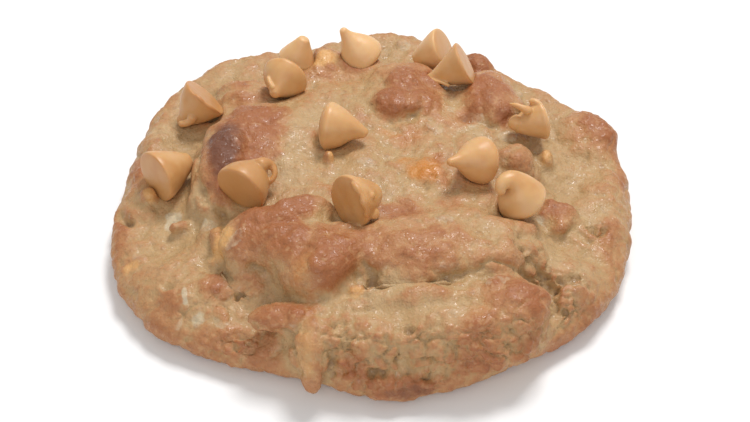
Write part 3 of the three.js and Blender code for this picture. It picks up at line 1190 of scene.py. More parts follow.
CHIPS = (
    Chip((-17.4, 36.2, 12.6), 10, -70, 4.0, 6.8, fullness=0.8, softness=0.8, bloom=0.5),
    Chip(
        (-18.2, 27.0, 17.0), 248, 5, 4.4, 8.0,
        fullness=0.45,
        softness=1.0,
        waist=-0.2,
        strands=(
            Strand(((-20.4, 21.3, 16.8), (-20.9, 20.3, 16.4)), (1.5, 1.35)),
            Strand(((-21.0, 20.2, 17.4), (-21.9, 21.4, 18.2), (-22.4, 23.0, 18.8)), (0.6, 0.45, 0.35)),
        ),
    ),
    Chip((-1.4, 37.0, 12.2), 176, -56, 4.7, 10.4, 10, fullness=0.2, softness=0.8, bloom=0.75),
    Chip((15.6, 36.6, 16.3), 170, 30, 4.7, 8.0, fullness=0.9, softness=0.35, bloom=0.6),
    Chip(
        (19.7, 27.4, 19.0), 184, 29, 5.2, 10.4, 35,
        fullness=0.4,
        softness=0.1,
        waist=0.3,
        strands=(
            Strand(
                ((11.4, 26.0, 15.4), (12.6, 25.0, 15.9), (14.2, 24.2, 16.2), (16.0, 23.4, 15.9)),
                (1.0, 0.5, 0.4, 0.4),
            ),
        ),
    ),
    Chip(
        (35.3, 11.6, 16.9), 198, 6, 4.3, 7.2,
        fullness=0.9,
        softness=0.9,
        lumpiness=2.0,
        strands=(
            Strand(((30.4, 10.2, 17.3), (29.0, 9.7, 16.9), (27.4, 9.2, 16.4)), (2.2, 1.6, 1.35)),
            Strand(
                ((31.9, 9.9, 19.4), (30.2, 10.0, 20.4), (28.8, 10.6, 20.7), (27.4, 11.1, 20.8)),
                (1.2, 0.75, 0.5, 0.15),
            ),
            Strand(
                ((31.8, 12.2, 20.2), (32.6, 11.8, 20.8), (33.8, 10.8, 20.6), (35.0, 9.8, 19.7)),
                (0.8, 0.65, 0.45, 0.2),
            ),
        ),
    ),
    Chip(
        (-35.5, 21.1, 15.0), 206, 42, 5.3, 8.5, 40,
        fullness=0.5,
        softness=0.1,
        lumpiness=2.5,
        waist=0.12,
        bloom=-0.5,
        strands=(
            Strand(
                ((-37.8, 16.6, 13.6), (-38.5, 16.1, 12.4), (-39.8, 15.8, 11.8), (-41.1, 15.8, 11.9)),
                (1.3, 0.9, 0.75, 0.65),
            ),
            Strand(
                (
                    (-37.3, 17.4, 18.2), (-36.2, 16.8, 17.5), (-35.2, 16.3, 16.7),
                    (-34.2, 16.2, 15.8), (-33.3, 16.5, 14.8), (-32.6, 17.4, 13.4),
                ),
                (0.3, 0.5, 0.35, 0.55, 0.4, 0.3),
            ),
        ),
    ),
    Chip(
        (-11.0, 6.3, 19.2), 350, 2, 4.9, 9.9, 40, 180,
        fullness=0.4,
        softness=1.0,
        bloom=0.35,
        strands=(Strand(((-4.6, 4.9, 18.6), (-3.2, 4.7, 18.1), (-2.3, 4.5, 17.6)), (1.8, 1.35, 1.1)),),
    ),
    Chip((-43.8, -3.6, 13.6), 42, 2, 5.3, 8.8, fullness=0.95, softness=0.15, bloom=-0.2),
    Chip(
        (-26.0, -12.8, 18.2), 60, -6, 5.3, 8.8,
        fullness=0.6,
        softness=0.06,
        lumpiness=1.5,
        bloom=-0.9,
        strands=(
            Strand(
                (
                    (-22.8, -9.2, 20.6), (-21.4, -7.8, 20.6), (-20.0, -7.6, 20.0), (-19.3, -8.8, 19.4),
                    (-19.7, -9.9, 18.6), (-20.8, -10.3, 18.0), (-21.4, -11.2, 17.2),
                ),
                (2.0, 1.4, 0.9, 0.62, 0.6, 0.8, 1.3),
            ),
        ),
    ),
    Chip((22.9, -3.6, 18.2), 208, -20, 4.7, 10.4, 10, 180, fullness=0.1, softness=0.9, bloom=0.3),
    Chip((29.8, -13.4, 14.2), 176, -62, 4.9, 11.6, 235, 228, fullness=0.35, softness=1.0, bloom=0.25),
    Chip(
        (-4.9, -19.5, 21.0), 40, 10, 5.3, 7.4,
        fullness=1.0,
        softness=0.2,
        lumpiness=3.0,
        bloom=-0.1,
        strands=(
            Strand(
                (
                    (-4.2, -19.0, 25.8), (-3.2, -20.4, 25.4), (-2.3, -21.6, 24.8), (-1.9, -22.4, 23.8),
                    (-1.4, -23.0, 22.4), (-1.5, -23.3, 20.8),
                ),
                (0.4, 0.7, 0.5, 0.8, 0.5, 0.6),
            ),
            Strand(((-1.6, -19.6, 23.5), (-0.2, -20.2, 22.2)), (1.2, 1.2)),
            Strand(((0.2, -20.9, 20.4), (-0.6, -20.5, 18.6)), (1.3, 1.5)),
            Strand(((-2.2, -23.1, 18.2), (-3.8, -22.0, 16.8), (-5.4, -20.4, 16.2)), (0.7, 0.9, 0.7)),
        ),
    ),
)


# ----------------------------------------------------------------------------------------------------
# The dough


@dataclass(frozen=True)
class Patch:
    """A patch of the dough with a look of its own.

    Attributes:
        name: what it is.
        tone: which look.
        at: its middle, in millimetres.
        size: how far it reaches along X, Y and Z.
        amount: how strong it is, from 0 to 1.
    """

    name: str
    tone: Tone
    at: Point
    size: Point
    amount: float


@dataclass(frozen=True)
class Crease:
    """A crack or a fold that runs over the dough, or a ridge where its depth is less than nothing.

    Attributes:
        name: what it is.
        points: where it runs, in millimetres.
        depth: how deep it is.
        width: how far it reaches to each side.
    """

    name: str
    points: tuple[Point, ...]
    depth: float
    width: float


@dataclass(frozen=True)
class Mound:
    """A part of the dough that baked up into a lump.

    Attributes:
        name: what it is.
        at: its middle, in millimetres.
        size: how far it reaches along X, Y and Z.
        height: how far it stands out.
    """

    name: str
    at: Point
    size: Point
    height: float


@dataclass
class OatFlakes:
    """Rolled oats that lie in the crust, sunk to half their thickness and more.

    Attributes:
        size: half the length, width and thickness of a flake, in millimetres.
        density: flakes on a square metre.
        apart: the least distance between two, in millimetres.
        seed: what scatters them.
        facing_up: how far up the dough faces where they lie.
        tilt: how far a flake tilts, in radians.
        smallest: the size of the smallest flake, as a share of the largest.
    """

    size: Point = (2.6, 1.4, 0.5)
    density: float = 3500.0
    apart: float = 7.5
    seed: int = 7
    facing_up: float = 0.6
    tilt: float = 0.35
    smallest: float = 0.7

    def build(self, dough: bpy.types.Object, material: bpy.types.Material) -> bpy.types.Object:
        """Scatters the flakes on the dough.

        Args:
            dough: what they lie on.
            material: the dough's finish.

        Returns:
            The flakes, still a piece of their own.
        """
        tree = Shaper("oat flakes", {"Apart": self.apart * MM, "Density": self.density, "Seed": self.seed})
        up = tree.part(tree.facing(), "Z")
        feeds = {
            "Mesh": tree.start,
            "Distance Min": tree.size("Apart"),
            "Density Max": tree.size("Density"),
            "Density Factor": up.rise(self.facing_up - 0.05, self.facing_up + 0.05),
            "Seed": tree.size("Seed"),
        }
        scatter = tree.node("GeometryNodeDistributePointsOnFaces", {"distribute_method": "POISSON"}, feeds)
        lying = Value(tree, next(out for out in scatter.socket.node.outputs if out.identifier == "Rotation"))
        most = (self.tilt, self.tilt, math.pi)
        feeds = {"Min": tuple(-part for part in most), "Max": most, "Seed": tree.size("Seed")}
        turn = tree.node("FunctionNodeRandomValue", {"data_type": "FLOAT_VECTOR"}, feeds)
        feeds = {"Rotation": lying, "Rotate By": turn}
        turned = tree.node("FunctionNodeRotateRotation", {"rotation_space": "LOCAL"}, feeds)
        flake = tree.node("GeometryNodeMeshUVSphere", {}, {"Segments": 14, "Rings": 8, "Radius": MM})
        feeds = {"Min": tuple(self.smallest * part for part in self.size), "Max": self.size, "Seed": 3}
        sizes = tree.node("FunctionNodeRandomValue", {"data_type": "FLOAT_VECTOR"}, feeds)
        feeds = {"Points": scatter, "Instance": flake, "Rotation": turned, "Scale": sizes}
        tree.done(tree.node("GeometryNodeInstanceOnPoints", {}, feeds), material)
        return tree.shape(placed("oat_flakes", dough.data.copy()))


@dataclass
class Dough:
    """The baked dough: rounded, creased, crumbly, and browned where it baked hardest.

    Attributes:
        finish: the baked dough's finish.
        flakes: the oats in it.
        creases: its cracks and folds.
        mounds: its lumps.
        patches: where it is browner, paler or richer than the rest.
        voxel: the fineness of the skin before it is thinned out, in millimetres.
        rounding: how often the CAD facets are smoothed.
        fold: size and height of the folds that meet in sharp creases, in millimetres.
        knob: size and height of the rugged unevenness.
        lump: size and height of the lumps where it is crumbly.
        calm_share: how lumpy it is elsewhere, as a share.
        crag: size of the crags, depth of the clefts between them, and their width as a share of a crag.
        stretch: size of the stretches in which the clefts open.
        grain: size and height of the fine grain.
        top_grain: how grainy the walls are, and how much more so the top is.
        pit: spacing, radius and depth of the scattered holes.
        crack: spacing and depth of the scattered cracks.
        wander: the size of the wandering that makes the edges of all that is named uneven.
        stray: how far the named creases and the patches stray from their places.
        bend: size and reach of the drift that bends the lumps.
        ragged: size and reach of the drift that frays the pits and the clefts.
        melting: how often the calm patches are smoothed.
        hug: how far the dough reaches over to a chip, which closes the CAD gap.
        smoothing: how often the skin is smoothed once the flakes are fused to it.
        triangles: how many triangles the finished skin has at most.
        flake_reach: how far round a flake the crust is oaty, in millimetres.
        usual_brown: how browned the dough is without patches.
        exposed_brown: how much more so where it stands out, at the foot of its walls, and underneath.
        usual_oat: how much of the flakes shows.
    """

    finish: DoughFinish
    flakes: OatFlakes
    creases: tuple[Crease, ...]
    mounds: tuple[Mound, ...]
    patches: tuple[Patch, ...]
    voxel: float = 0.4
    rounding: int = 26
    fold: tuple[float, float] = (10.0, 0.9)
    knob: tuple[float, float] = (6.0, 1.2)
    lump: tuple[float, float] = (2.4, 1.3)
    calm_share: float = 0.13
    crag: Point = (3.4, 0.8, 0.15)
    stretch: float = 4.0
    grain: tuple[float, float] = (1.3, 0.34)
    top_grain: tuple[float, float] = (0.4, 1.6)
    pit: Point = (4.2, 0.75, 0.8)
    crack: tuple[float, float] = (7.0, 0.5)
    wander: float = 5.5
    stray: tuple[float, float] = (2.2, 5.0)
    bend: tuple[float, float] = (5.0, 4.0)
    ragged: tuple[float, float] = (1.3, 1.7)
    melting: int = 320
    hug: float = 0.34
    smoothing: int = 3
    triangles: int = 190_000
    flake_reach: float = 0.9
    usual_brown: float = 0.2
    exposed_brown: Point = (0.08, 0.06, 0.3)
    usual_oat: float = 0.45

    def build(self, chips: Sequence[bpy.types.Object]) -> None:
        """Builds the dough round the chips and puts it in the place of its CAD node.

        Args:
            chips: the finished chips.
        """
        material = self.finish.material()
        piece = self.copied()
        skinned(piece, self.voxel, self.rounding)
        self.calmed(piece)
        flakes = self.flakes.build(piece, material)
        self.fused(piece, flakes)
        wander = self.wander_tree(material)
        wander.shape(piece)
        self.folded(piece)
        near = joined([placed("chips together", chip.data.copy()) for chip in chips])
        self.relief_tree(near, material).shape(piece)
        self.thinned(piece)
        wander.shape(piece)
        self.colouring_tree(flakes, material).shape(piece)
        self.flattened(piece)
        self.painted(piece)
        for helper in (near, flakes):
            bpy.data.objects.remove(helper)
        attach(piece, "root")
        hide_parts("cookie")
        LOG.info("%s: %d triangles", piece.name, triangles(piece.data))

    def copied(self) -> bpy.types.Object:
        """A copy of the CAD dough with its loose triangles merged.

        Returns:
            The piece to work on.
        """
        piece = placed("baked_dough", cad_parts["cookie"].data.copy())
        return changed(piece, "WELD", merge_threshold=0.001 * MM)

    def calmed(self, piece: bpy.types.Object) -> None:
        """Melts the knobs down where the dough lies in low swells.

        Args:
            piece: the dough.
        """
        share = spread(places(piece.data), self.of(Tone.CALM))
        group = piece.vertex_groups.new(name=Tone.CALM.value)
        for index in np.flatnonzero(share > 0.01):
            group.add([int(index)], float(share[index]), "REPLACE")
        changed(piece, "SMOOTH", factor=0.5, iterations=self.melting, vertex_group=Tone.CALM.value)
        piece.vertex_groups.clear()

    def of(self, tone: Tone) -> list[Patch]:
        """The patches with one look."""
        return [patch for patch in self.patches if patch.tone is tone]

    def wander_tree(self, material: bpy.types.Material) -> Shaper:
        """The tree that stores how far each point strays, so that nothing named has an even edge.

        Args:
            material: the dough's finish.

        Returns:
            The tree.
        """
        tree = Shaper("wander", {})
        wander = tree.drift(tree.place(), self.wander, 3.0, 21.0)
        tree.done(tree.kept(tree.start, "wander", wander, "FLOAT_VECTOR"), material)
        return tree

    def fused(self, piece: bpy.types.Object, flakes: bpy.types.Object) -> None:
        """Fuses the flakes to the dough in one skin.

        Args:
            piece: the dough.
            flakes: the scattered flakes, which are kept.
        """
        joined([piece, placed("flakes to fuse", flakes.data.copy())])
        skinned(piece, self.voxel, self.smoothing)

    def folded(self, piece: bpy.types.Object) -> None:
        """Raises the named lumps and presses the named creases into the dough.

        Args:
            piece: the dough.
        """
        points, facing, wander = places(piece.data), facings(piece.data), recall(piece.data, "wander")
        near = points + self.stray[0] * wander
        uneven = np.clip(1.0 + 2.5 * wander[:, 0], 0.4, 1.6)
        sunk, raised = np.zeros(len(points)), np.zeros(len(points))
        for crease in self.creases:
            way = to_path(near, np.array(crease.points)) / crease.width
            share = crease.depth * np.exp(-way * way)
            sunk, raised = np.maximum(sunk, share * uneven), np.maximum(raised, -share)
        for mound in self.mounds:
            way = np.linalg.norm((near - np.array(mound.at)) / np.array(mound.size), axis=1)
            raised = np.maximum(raised, mound.height * (1.0 - smooth_rise(0.2, 1.15, way)))
        move(piece.data, points + facing * (raised - sunk)[:, None])
        keep(piece.data, Tone.CRUMB.value, spread(near, self.of(Tone.CRUMB)))

    def relief_tree(self, chips: bpy.types.Object, material: bpy.types.Material) -> Shaper:
        """The tree that makes the crust crumbly and lets it hug the chips.

        Args:
            chips: all chips in one mesh.
            material: the dough's finish.

        Returns:
            The tree.
        """
        sizes = {
            "Chips": chips,
            "Fold height": self.fold[1] * MM,
            "Knob height": self.knob[1] * MM,
            "Lump height": self.lump[1] * MM,
            "Cleft depth": self.crag[1] * MM,
            "Grain height": self.grain[1] * MM,
            "Pit depth": self.pit[2] * MM,
            "Crack depth": self.crack[1] * MM,
            "Hug": self.hug * MM,
        }
        tree = Shaper("crumbly crust", sizes)
        place = tree.place()
        crumbly = tree.stored(Tone.CRUMB.value)
        up = tree.part(tree.facing(), "Z")
        drift = tree.drift(place, self.bend[0], 2.0, 9.0)
        bent = tree.vectors("ADD", place, tree.vectors("SCALE", drift, scale=self.bend[1] * MM))
        ridge = (tree.noise(place, self.fold[0], 2.0, seed=16.0) - 0.5).unsigned()
        folds = ridge / (ridge + 0.1) - 0.45
        knobs = (tree.noise(place, self.knob[0], 3.0, seed=11.0) - 0.5) * 2.0
        lumpy = self.calm_share + (1.0 - self.calm_share) * crumbly
        lumps = (0.5 - tree.cells(bent, self.lump[0], "F1")) * lumpy
        grainy = self.top_grain[0] + self.top_grain[1] * up.rise(0.1, 0.7)
        grain = (tree.noise(place, self.grain[0], 2.0, seed=12.0) - 0.5) * grainy
        drift = tree.drift(place, self.ragged[0], 1.0, 17.0)
        bent = tree.vectors("ADD", bent, tree.vectors("SCALE", drift, scale=self.ragged[1] * MM))
        cleft = tree.cells(bent, self.crag[0], "DISTANCE_TO_EDGE").rise(self.crag[2], 0.0)
        clefts = cleft * tree.noise(place, self.stretch, 2.0, seed=19.0).rise(0.36, 0.56) * crumbly
        apart = tree.cells(bent, self.pit[0], "F1")
        chance = tree.cells(bent, self.pit[0], "F1", "Color")
        radius = tree.part(chance, "X").rise(0.55, 1.0) * (0.55 + 0.45 * crumbly)
        reach = (radius * (self.pit[1] / self.pit[0])).most(0.001)
        pits = (apart / reach).rise(1.15, 0.2) * (0.5 + 0.5 * crumbly)
        line = (tree.noise(bent, self.crack[0], 3.0, seed=13.0) - 0.5).unsigned()
        cracks = line.rise(0.05, 0.0) * crumbly
        relief = (
            folds * tree.size("Fold height")
            + knobs * tree.size("Knob height")
            + lumps * tree.size("Lump height")
            - clefts * tree.size("Cleft depth")
            + grain * tree.size("Grain height")
            - pits * tree.size("Pit depth")
            - cracks * tree.size("Crack depth")
        )
        under = (up * -1.0).rise(0.7, 0.95) * tree.part(place, "Z").rise(0.8 * MM, 0.2 * MM)
        relief = relief * (1.0 - under) + under * (relief * 0.4).least(0.0)
        gap = tree.gap_to("Chips")
        relief = relief * gap.rise(0.3 * MM, 2.0 * MM) + tree.size("Hug") * gap.rise(1.3 * MM, 0.2 * MM)
        offset = tree.vectors("SCALE", tree.facing(), scale=relief)
        moved = tree.node("GeometryNodeSetPosition", {}, {"Geometry": tree.start, "Offset": offset})
        tree.done(moved, material)
        return tree

    def colouring_tree(self, flakes: bpy.types.Object, material: bpy.types.Material) -> Shaper:
        """The tree that stores how each point stands out, for browning and painted shade, and where flakes
        are.

        Args:
            flakes: the oat flakes.
            material: the dough's finish.

        Returns:
            The tree.
        """
        tree = Shaper("browning", {"Flakes": flakes, "Flake reach": self.flake_reach * MM})
        place = tree.place()
        mesh = tree.start
        for name, times, scale in (("crest", 10, 0.1), ("high", 60, 0.5)):
            feeds = {"Value": place, "Iterations": times}
            blurred = tree.node("GeometryNodeBlurAttribute", {"data_type": "FLOAT_VECTOR"}, feeds)
            out = tree.vectors("DOT_PRODUCT", tree.facing(), tree.vectors("SUBTRACT", place, blurred))
            mesh = tree.kept(mesh, name, out / (scale * MM))
        far = (tree.gap_to("Flakes") / tree.size("Flake reach")).least(1.0)
        mesh = tree.kept(mesh, Tone.GREY.value, 1.0 - far)
        tree.done(mesh, material)
        return tree

    def thinned(self, piece: bpy.types.Object) -> None:
        """Thins the skin out to the triangles it may have.

        Args:
            piece: the dough.
        """
        now = triangles(piece.data)
        if now > self.triangles:
            changed(piece, "DECIMATE", ratio=self.triangles / now)

    def flattened(self, piece: bpy.types.Object) -> None:
        """Keeps the dough on and above the table.

        Args:
            piece: the dough.
        """
        points = places(piece.data)
        points[:, 2] = np.maximum(points[:, 2], 0.0)
        move(piece.data, points)

    def painted(self, piece: bpy.types.Object) -> None:
        """Stores where the dough is brown, moist, oaty or buttery.

        Args:
            piece: the dough.
        """
        mesh = piece.data
        points = places(mesh) + self.stray[1] * recall(mesh, "wander")
        height, up = points[:, 2], facings(mesh)[:, 2]
        low = 1.0 - smooth_rise(1.0, 7.0, height)
        under = smooth_rise(0.6, 0.9, -up) * (1.0 - smooth_rise(0.3, 1.5, height))
        high = np.clip(recall(mesh, "high"), -1.5, 1.5)
        for_high, for_low, for_under = self.exposed_brown
        usual = {
            Tone.BROWN: self.usual_brown + for_high * high + for_low * low + for_under * under,
            Tone.GREY: self.usual_oat * smooth_rise(0.3, 0.6, recall(mesh, Tone.GREY.value)),
        }
        for tone in PAINTED:
            keep(mesh, tone.value, spread(points, self.of(tone), usual.get(tone, 0.0)))


def triangles(mesh: bpy.types.Mesh) -> int:
    """How many triangles a mesh has."""
    return sum(len(face.vertices) - 2 for face in mesh.polygons)


def spread(points: np.ndarray, patches: Sequence[Patch], start: np.ndarray | float = 0.0) -> np.ndarray:
    """How strong a look is at each point when its patches add up.

    Args:
        points: the points.
        patches: the patches.
        start: how strong it is without them.

    Returns:
        The strengths, from 0 to 1.
    """
    left = np.full(len(points), 1.0) - np.clip(start, 0.0, 1.0)
    for patch in patches:
        way = np.linalg.norm((points - np.array(patch.at)) / np.array(patch.size), axis=1)
        left *= 1.0 - patch.amount * (1.0 - smooth_rise(0.3, 1.25, way))
    return 1.0 - left


def to_path(points: np.ndarray, path: np.ndarray) -> np.ndarray:
    """How far each point is from a row of straight stretches.

    Args:
        points: the points.
        path: the corners of the row.

    Returns:
        The distances.
    """
    nearest = np.full(len(points), np.inf)
    for start, end in zip(path[:-1], path[1:]):
        run = end - start
        share = np.clip((points - start) @ run / (run @ run), 0.0, 1.0)
        nearest = np.minimum(nearest, np.linalg.norm(points - start - share[:, None] * run, axis=1))
    return nearest


def patches(tone: Tone, *rows: tuple[str, Point, Point, float]) -> tuple[Patch, ...]:
    """All patches with one look.

    Args:
        tone: which look.
        rows: each patch's name, middle, reach along X, Y and Z, and strength.

    Returns:
        The patches.
    """
    return tuple(Patch(name, tone, at, size, amount) for name, at, size, amount in rows)


CREASES = (
    Crease(
        "crease under the rolled lip",
        (
            (0.0, -34.5, 14.5), (4.0, -35.0, 14.0), (7.5, -35.0, 14.5), (12.0, -34.5, 16.0),
            (16.5, -34.0, 16.0), (20.0, -32.5, 17.0),
        ),
        0.5,
        0.5,
    ),
    Crease(
        "crevice at the lobe's right",
        ((-2.0, -32.5, 18.0), (-1.0, -33.5, 16.5), (-0.5, -34.5, 14.5)),
        1.0,
        0.6,
    ),
    Crease(
        "valley between the front lobes",
        ((-13.0, -26.5, 20.5), (-15.5, -27.5, 19.5), (-19.0, -28.0, 18.0)),
        0.4,
        1.8,
    ),
    Crease(
        "light line over the lobe",
        ((-15.5, -20.5, 20.5), (-13.5, -22.0, 19.0), (-11.5, -26.0, 20.5)),
        0.3,
        0.5,
    ),
    Crease(
        "thin crack right of the lip",
        ((19.5, -32.0, 17.5), (21.5, -31.5, 17.5), (24.5, -31.5, 16.5), (26.0, -31.5, 15.5)),
        0.7,
        0.45,
    ),
    Crease(
        "foot of the left lobe",
        ((-27.0, -27.0, 11.0), (-25.0, -29.0, 11.5), (-23.0, -30.0, 11.5)),
        0.5,
        0.7,
    ),
    Crease(
        "under the lobe's overhang",
        ((-22.5, -30.0, 14.0), (-21.0, -30.0, 13.5), (-19.5, -31.0, 12.5)),
        0.6,
        0.8,
    ),
    Crease(
        "under the front left ridge",
        ((-22.0, -43.5, 12.0), (-20.0, -44.0, 11.5), (-17.0, -44.5, 11.0), (-14.5, -44.5, 11.5)),
        0.9,
        1.0,
    ),
    Crease(
        "cracks in the left front wall",
        (
            (-35.0, -40.0, 5.5), (-31.0, -41.0, 6.0), (-28.0, -42.5, 6.0), (-24.5, -43.5, 6.5),
            (-21.5, -44.5, 6.5),
        ),
        0.5,
        0.6,
    ),
    Crease(
        "fissure of the right flank",
        (
            (29.5, -28.5, 13.5), (30.5, -28.5, 12.5), (31.5, -29.0, 11.5), (32.5, -30.5, 10.5),
            (34.0, -32.0, 10.5),
        ),
        1.3,
        0.9,
    ),
    Crease("second fissure", ((35.0, -30.0, 11.0), (36.5, -29.5, 11.0), (38.0, -29.0, 11.0)), 1.0, 0.8),
    Crease("hole in the flank", ((43.0, -15.5, 10.5), (44.0, -16.0, 10.5), (45.5, -15.0, 10.0)), 2.2, 0.8),
    Crease("small hole", ((26.0, -26.5, 17.0), (27.0, -27.0, 16.0), (28.5, -27.0, 16.0)), 1.0, 0.6),
    Crease(
        "hollow under the right chip",
        ((28.0, -23.5, 16.5), (30.0, -23.5, 15.5), (32.5, -19.5, 12.5)),
        1.2,
        1.2,
    ),
    Crease(
        "gap beside the left bulge",
        (
            (-34.5, 17.0, 10.5), (-36.5, 13.5, 10.0), (-35.5, 0.0, 16.0), (-34.5, -7.0, 16.0),
            (-33.0, -11.0, 15.0),
        ),
        0.7,
        1.0,
    ),
    Crease("gap behind the bulge", ((-34.5, 19.0, 9.5), (-32.5, 22.5, 10.5), (-29.5, 22.5, 13.0)), 0.6, 0.9),
    Crease(
        "edge of the bulge's top",
        ((-26.5, 8.0, 17.5), (-25.0, 3.0, 18.0), (-24.5, -2.5, 18.0), (-26.0, -5.5, 17.0)),
        0.3,
        1.1,
    ),
    Crease(
        "below the left lump",
        ((-33.0, -11.5, 14.5), (-31.0, -13.5, 14.0), (-29.5, -14.0, 13.5)),
        1.2,
        1.0,
    ),
    Crease("right front cracks", ((30.0, -40.0, 16.0), (32.0, -40.0, 14.0), (35.5, -36.0, 9.0)), 0.7, 0.7),
    Crease(
        "ledge line of the front wall",
        ((-5.0, -49.5, 9.5), (-1.5, -50.0, 7.5), (3.5, -50.5, 7.5), (10.0, -50.5, 7.5), (15.0, -50.0, 8.0)),
        0.5,
        0.8,
    ),
    Crease("pits in the left field", ((-39.5, -30.5, 10.0), (-38.5, -30.5, 10.0)), 0.9, 0.7),
    Crease("pit in the shelf", ((6.0, -45.5, 14.0), (6.5, -46.0, 14.0)), 0.9, 0.5),
    Crease("pit by the front left ridge", ((-23.0, -43.0, 7.0), (-22.5, -43.5, 7.0)), 0.9, 0.6),
    Crease("left field dark slit", ((-25.5, -33.0, 7.0), (-25.0, -32.0, 7.5), (-24.0, -31.5, 8.0)), 1.0, 0.5),
    Crease("rim notch left", ((-51.5, -7.0, 7.0), (-49.5, -10.0, 8.0), (-48.5, -11.0, 8.5)), 1.2, 1.0),
    Crease(
        "under the back nose",
        ((1.0, 12.5, 16.0), (4.5, 11.5, 16.0), (7.5, 12.5, 16.0), (9.5, 14.5, 16.0)),
        0.8,
        1.0,
    ),
    Crease(
        "under the back right nose",
        ((19.0, 13.5, 15.0), (22.0, 12.0, 15.5), (25.0, 10.5, 15.5)),
        0.8,
        1.0,
    ),
    Crease(
        "left of the sunken chip",
        ((-16.0, -44.5, 11.5), (-15.0, -47.0, 10.5), (-13.5, -49.5, 8.5)),
        1.4,
        1.0,
    ),
    Crease(
        "right of the sunken chip",
        ((-8.0, -47.5, 12.0), (-7.5, -49.0, 9.5), (-8.0, -49.0, 6.5)),
        1.2,
        0.9,
    ),
    Crease(
        "ridge of the sunken chip",
        ((-14.5, -44.5, 12.0), (-13.0, -48.5, 11.5), (-11.0, -50.5, 7.0)),
        -0.8,
        1.3,
    ),
    Crease(
        "right rim fold",
        ((41.5, 7.5, 9.0), (44.5, 7.0, 9.5), (47.5, 6.0, 9.5), (50.0, 4.5, 8.5)),
        0.4,
        1.2,
    ),
    Crease("right flank fold", ((36.5, -16.0, 9.0), (39.0, -15.5, 10.0), (42.0, -18.0, 10.0)), 0.5, 1.0),
    Crease(
        "shelf fold",
        ((8.5, -39.5, 15.0), (12.5, -41.5, 15.5), (17.5, -40.0, 16.0), (21.5, -38.5, 16.5)),
        0.3,
        1.2,
    ),
    Crease("left rim fold", ((-46.0, -14.0, 8.0), (-44.0, -16.0, 8.0), (-43.0, -20.0, 8.0)), 0.4, 1.2),
    Crease("back rim fold", ((-33.0, 39.0, 10.0), (-30.0, 40.0, 10.5), (-26.5, 43.0, 10.0)), 0.6, 1.0),
)
MOUNDS = (
    Mound("dough under the lip", (6, -36, 14), (16, 4, 5), 1.9),
    Mound("groove between the front lobes", (-18, -28, 18), (5, 5, 6), 2.2),
    Mound("melted patch", (10, -3, 16), (5, 4, 4), 0.8),
    Mound("field at the foot of the lobes", (-26, -31, 9), (9, 7, 6), 3),
    Mound("left lump", (-29, 0, 19), (5, 9, 8), 1.6),
    Mound("left lump's back", (-25, 10, 18), (6, 7, 7), 0.8),
    Mound("back nose", (4, 16, 18), (5, 5, 7), 1.1),
    Mound("back nose right", (10, 16, 17), (4, 5, 7), 1.1),
    Mound("back nose top", (6, 24, 17), (5, 5, 7), 1.2),
    Mound("back right nose", (24, 21, 16), (6, 7, 7), 1.3),
    Mound("front left lobe", (-20, -20, 19), (6, 6, 7), 1.1),
    Mound("front lobe", (-8, -33, 20), (5, 7, 7), 1.4),
    Mound("front mass", (10, -29, 19), (10, 7, 7), 1.1),
    Mound("shelf end lump", (25, -38, 17), (6, 6, 7), 0.9),
    Mound("front left ridge", (-16, -42, 14), (8, 5, 7), 0.7),
    Mound("saddle between the front lobes", (-16, -28, 19), (4, 5, 7), 1.6),
    Mound("sunken chip", (-11, -47, 13), (5, 5, 7), 1.7),
    Mound("sunken chip's tip", (-11, -50, 9), (3, 7, 7), 1.6),
    Mound("dough beside the right chip", (34, -11, 11), (3, 4, 7), 1.6),
    Mound("crushed chip", (-30, -20, 13), (2, 4, 7), 1.2),
    Mound("bead", (-3, -37, 15), (1, 1, 7), 0.9),
    Mound("right rim lump", (47, 16, 12), (5, 6, 7), 0.6),
    Mound("shelf front", (19, -47, 14), (7, 5, 7), 0.5),
    Mound("shelf under the lip", (9, -38, 15), (10, 3, 7), 1.9),
    Mound("back right lump", (23, 39, 10), (4, 5, 7), 1.7),
    Mound("block by the right chip", (28, 1, 17), (5, 5, 7), 1.2),
    Mound("peg", (35, 4, 14), (2, 3, 7), 1),
    Mound("bead by the middle chip", (-9, -1, 18), (1, 1, 7), 0.4),
    Mound("shelf under the lobe", (-3, -39, 14), (4, 3, 7), 0.8),
    Mound("field by the lobes", (-30, -24, 10), (3, 3, 7), 0.8),
)
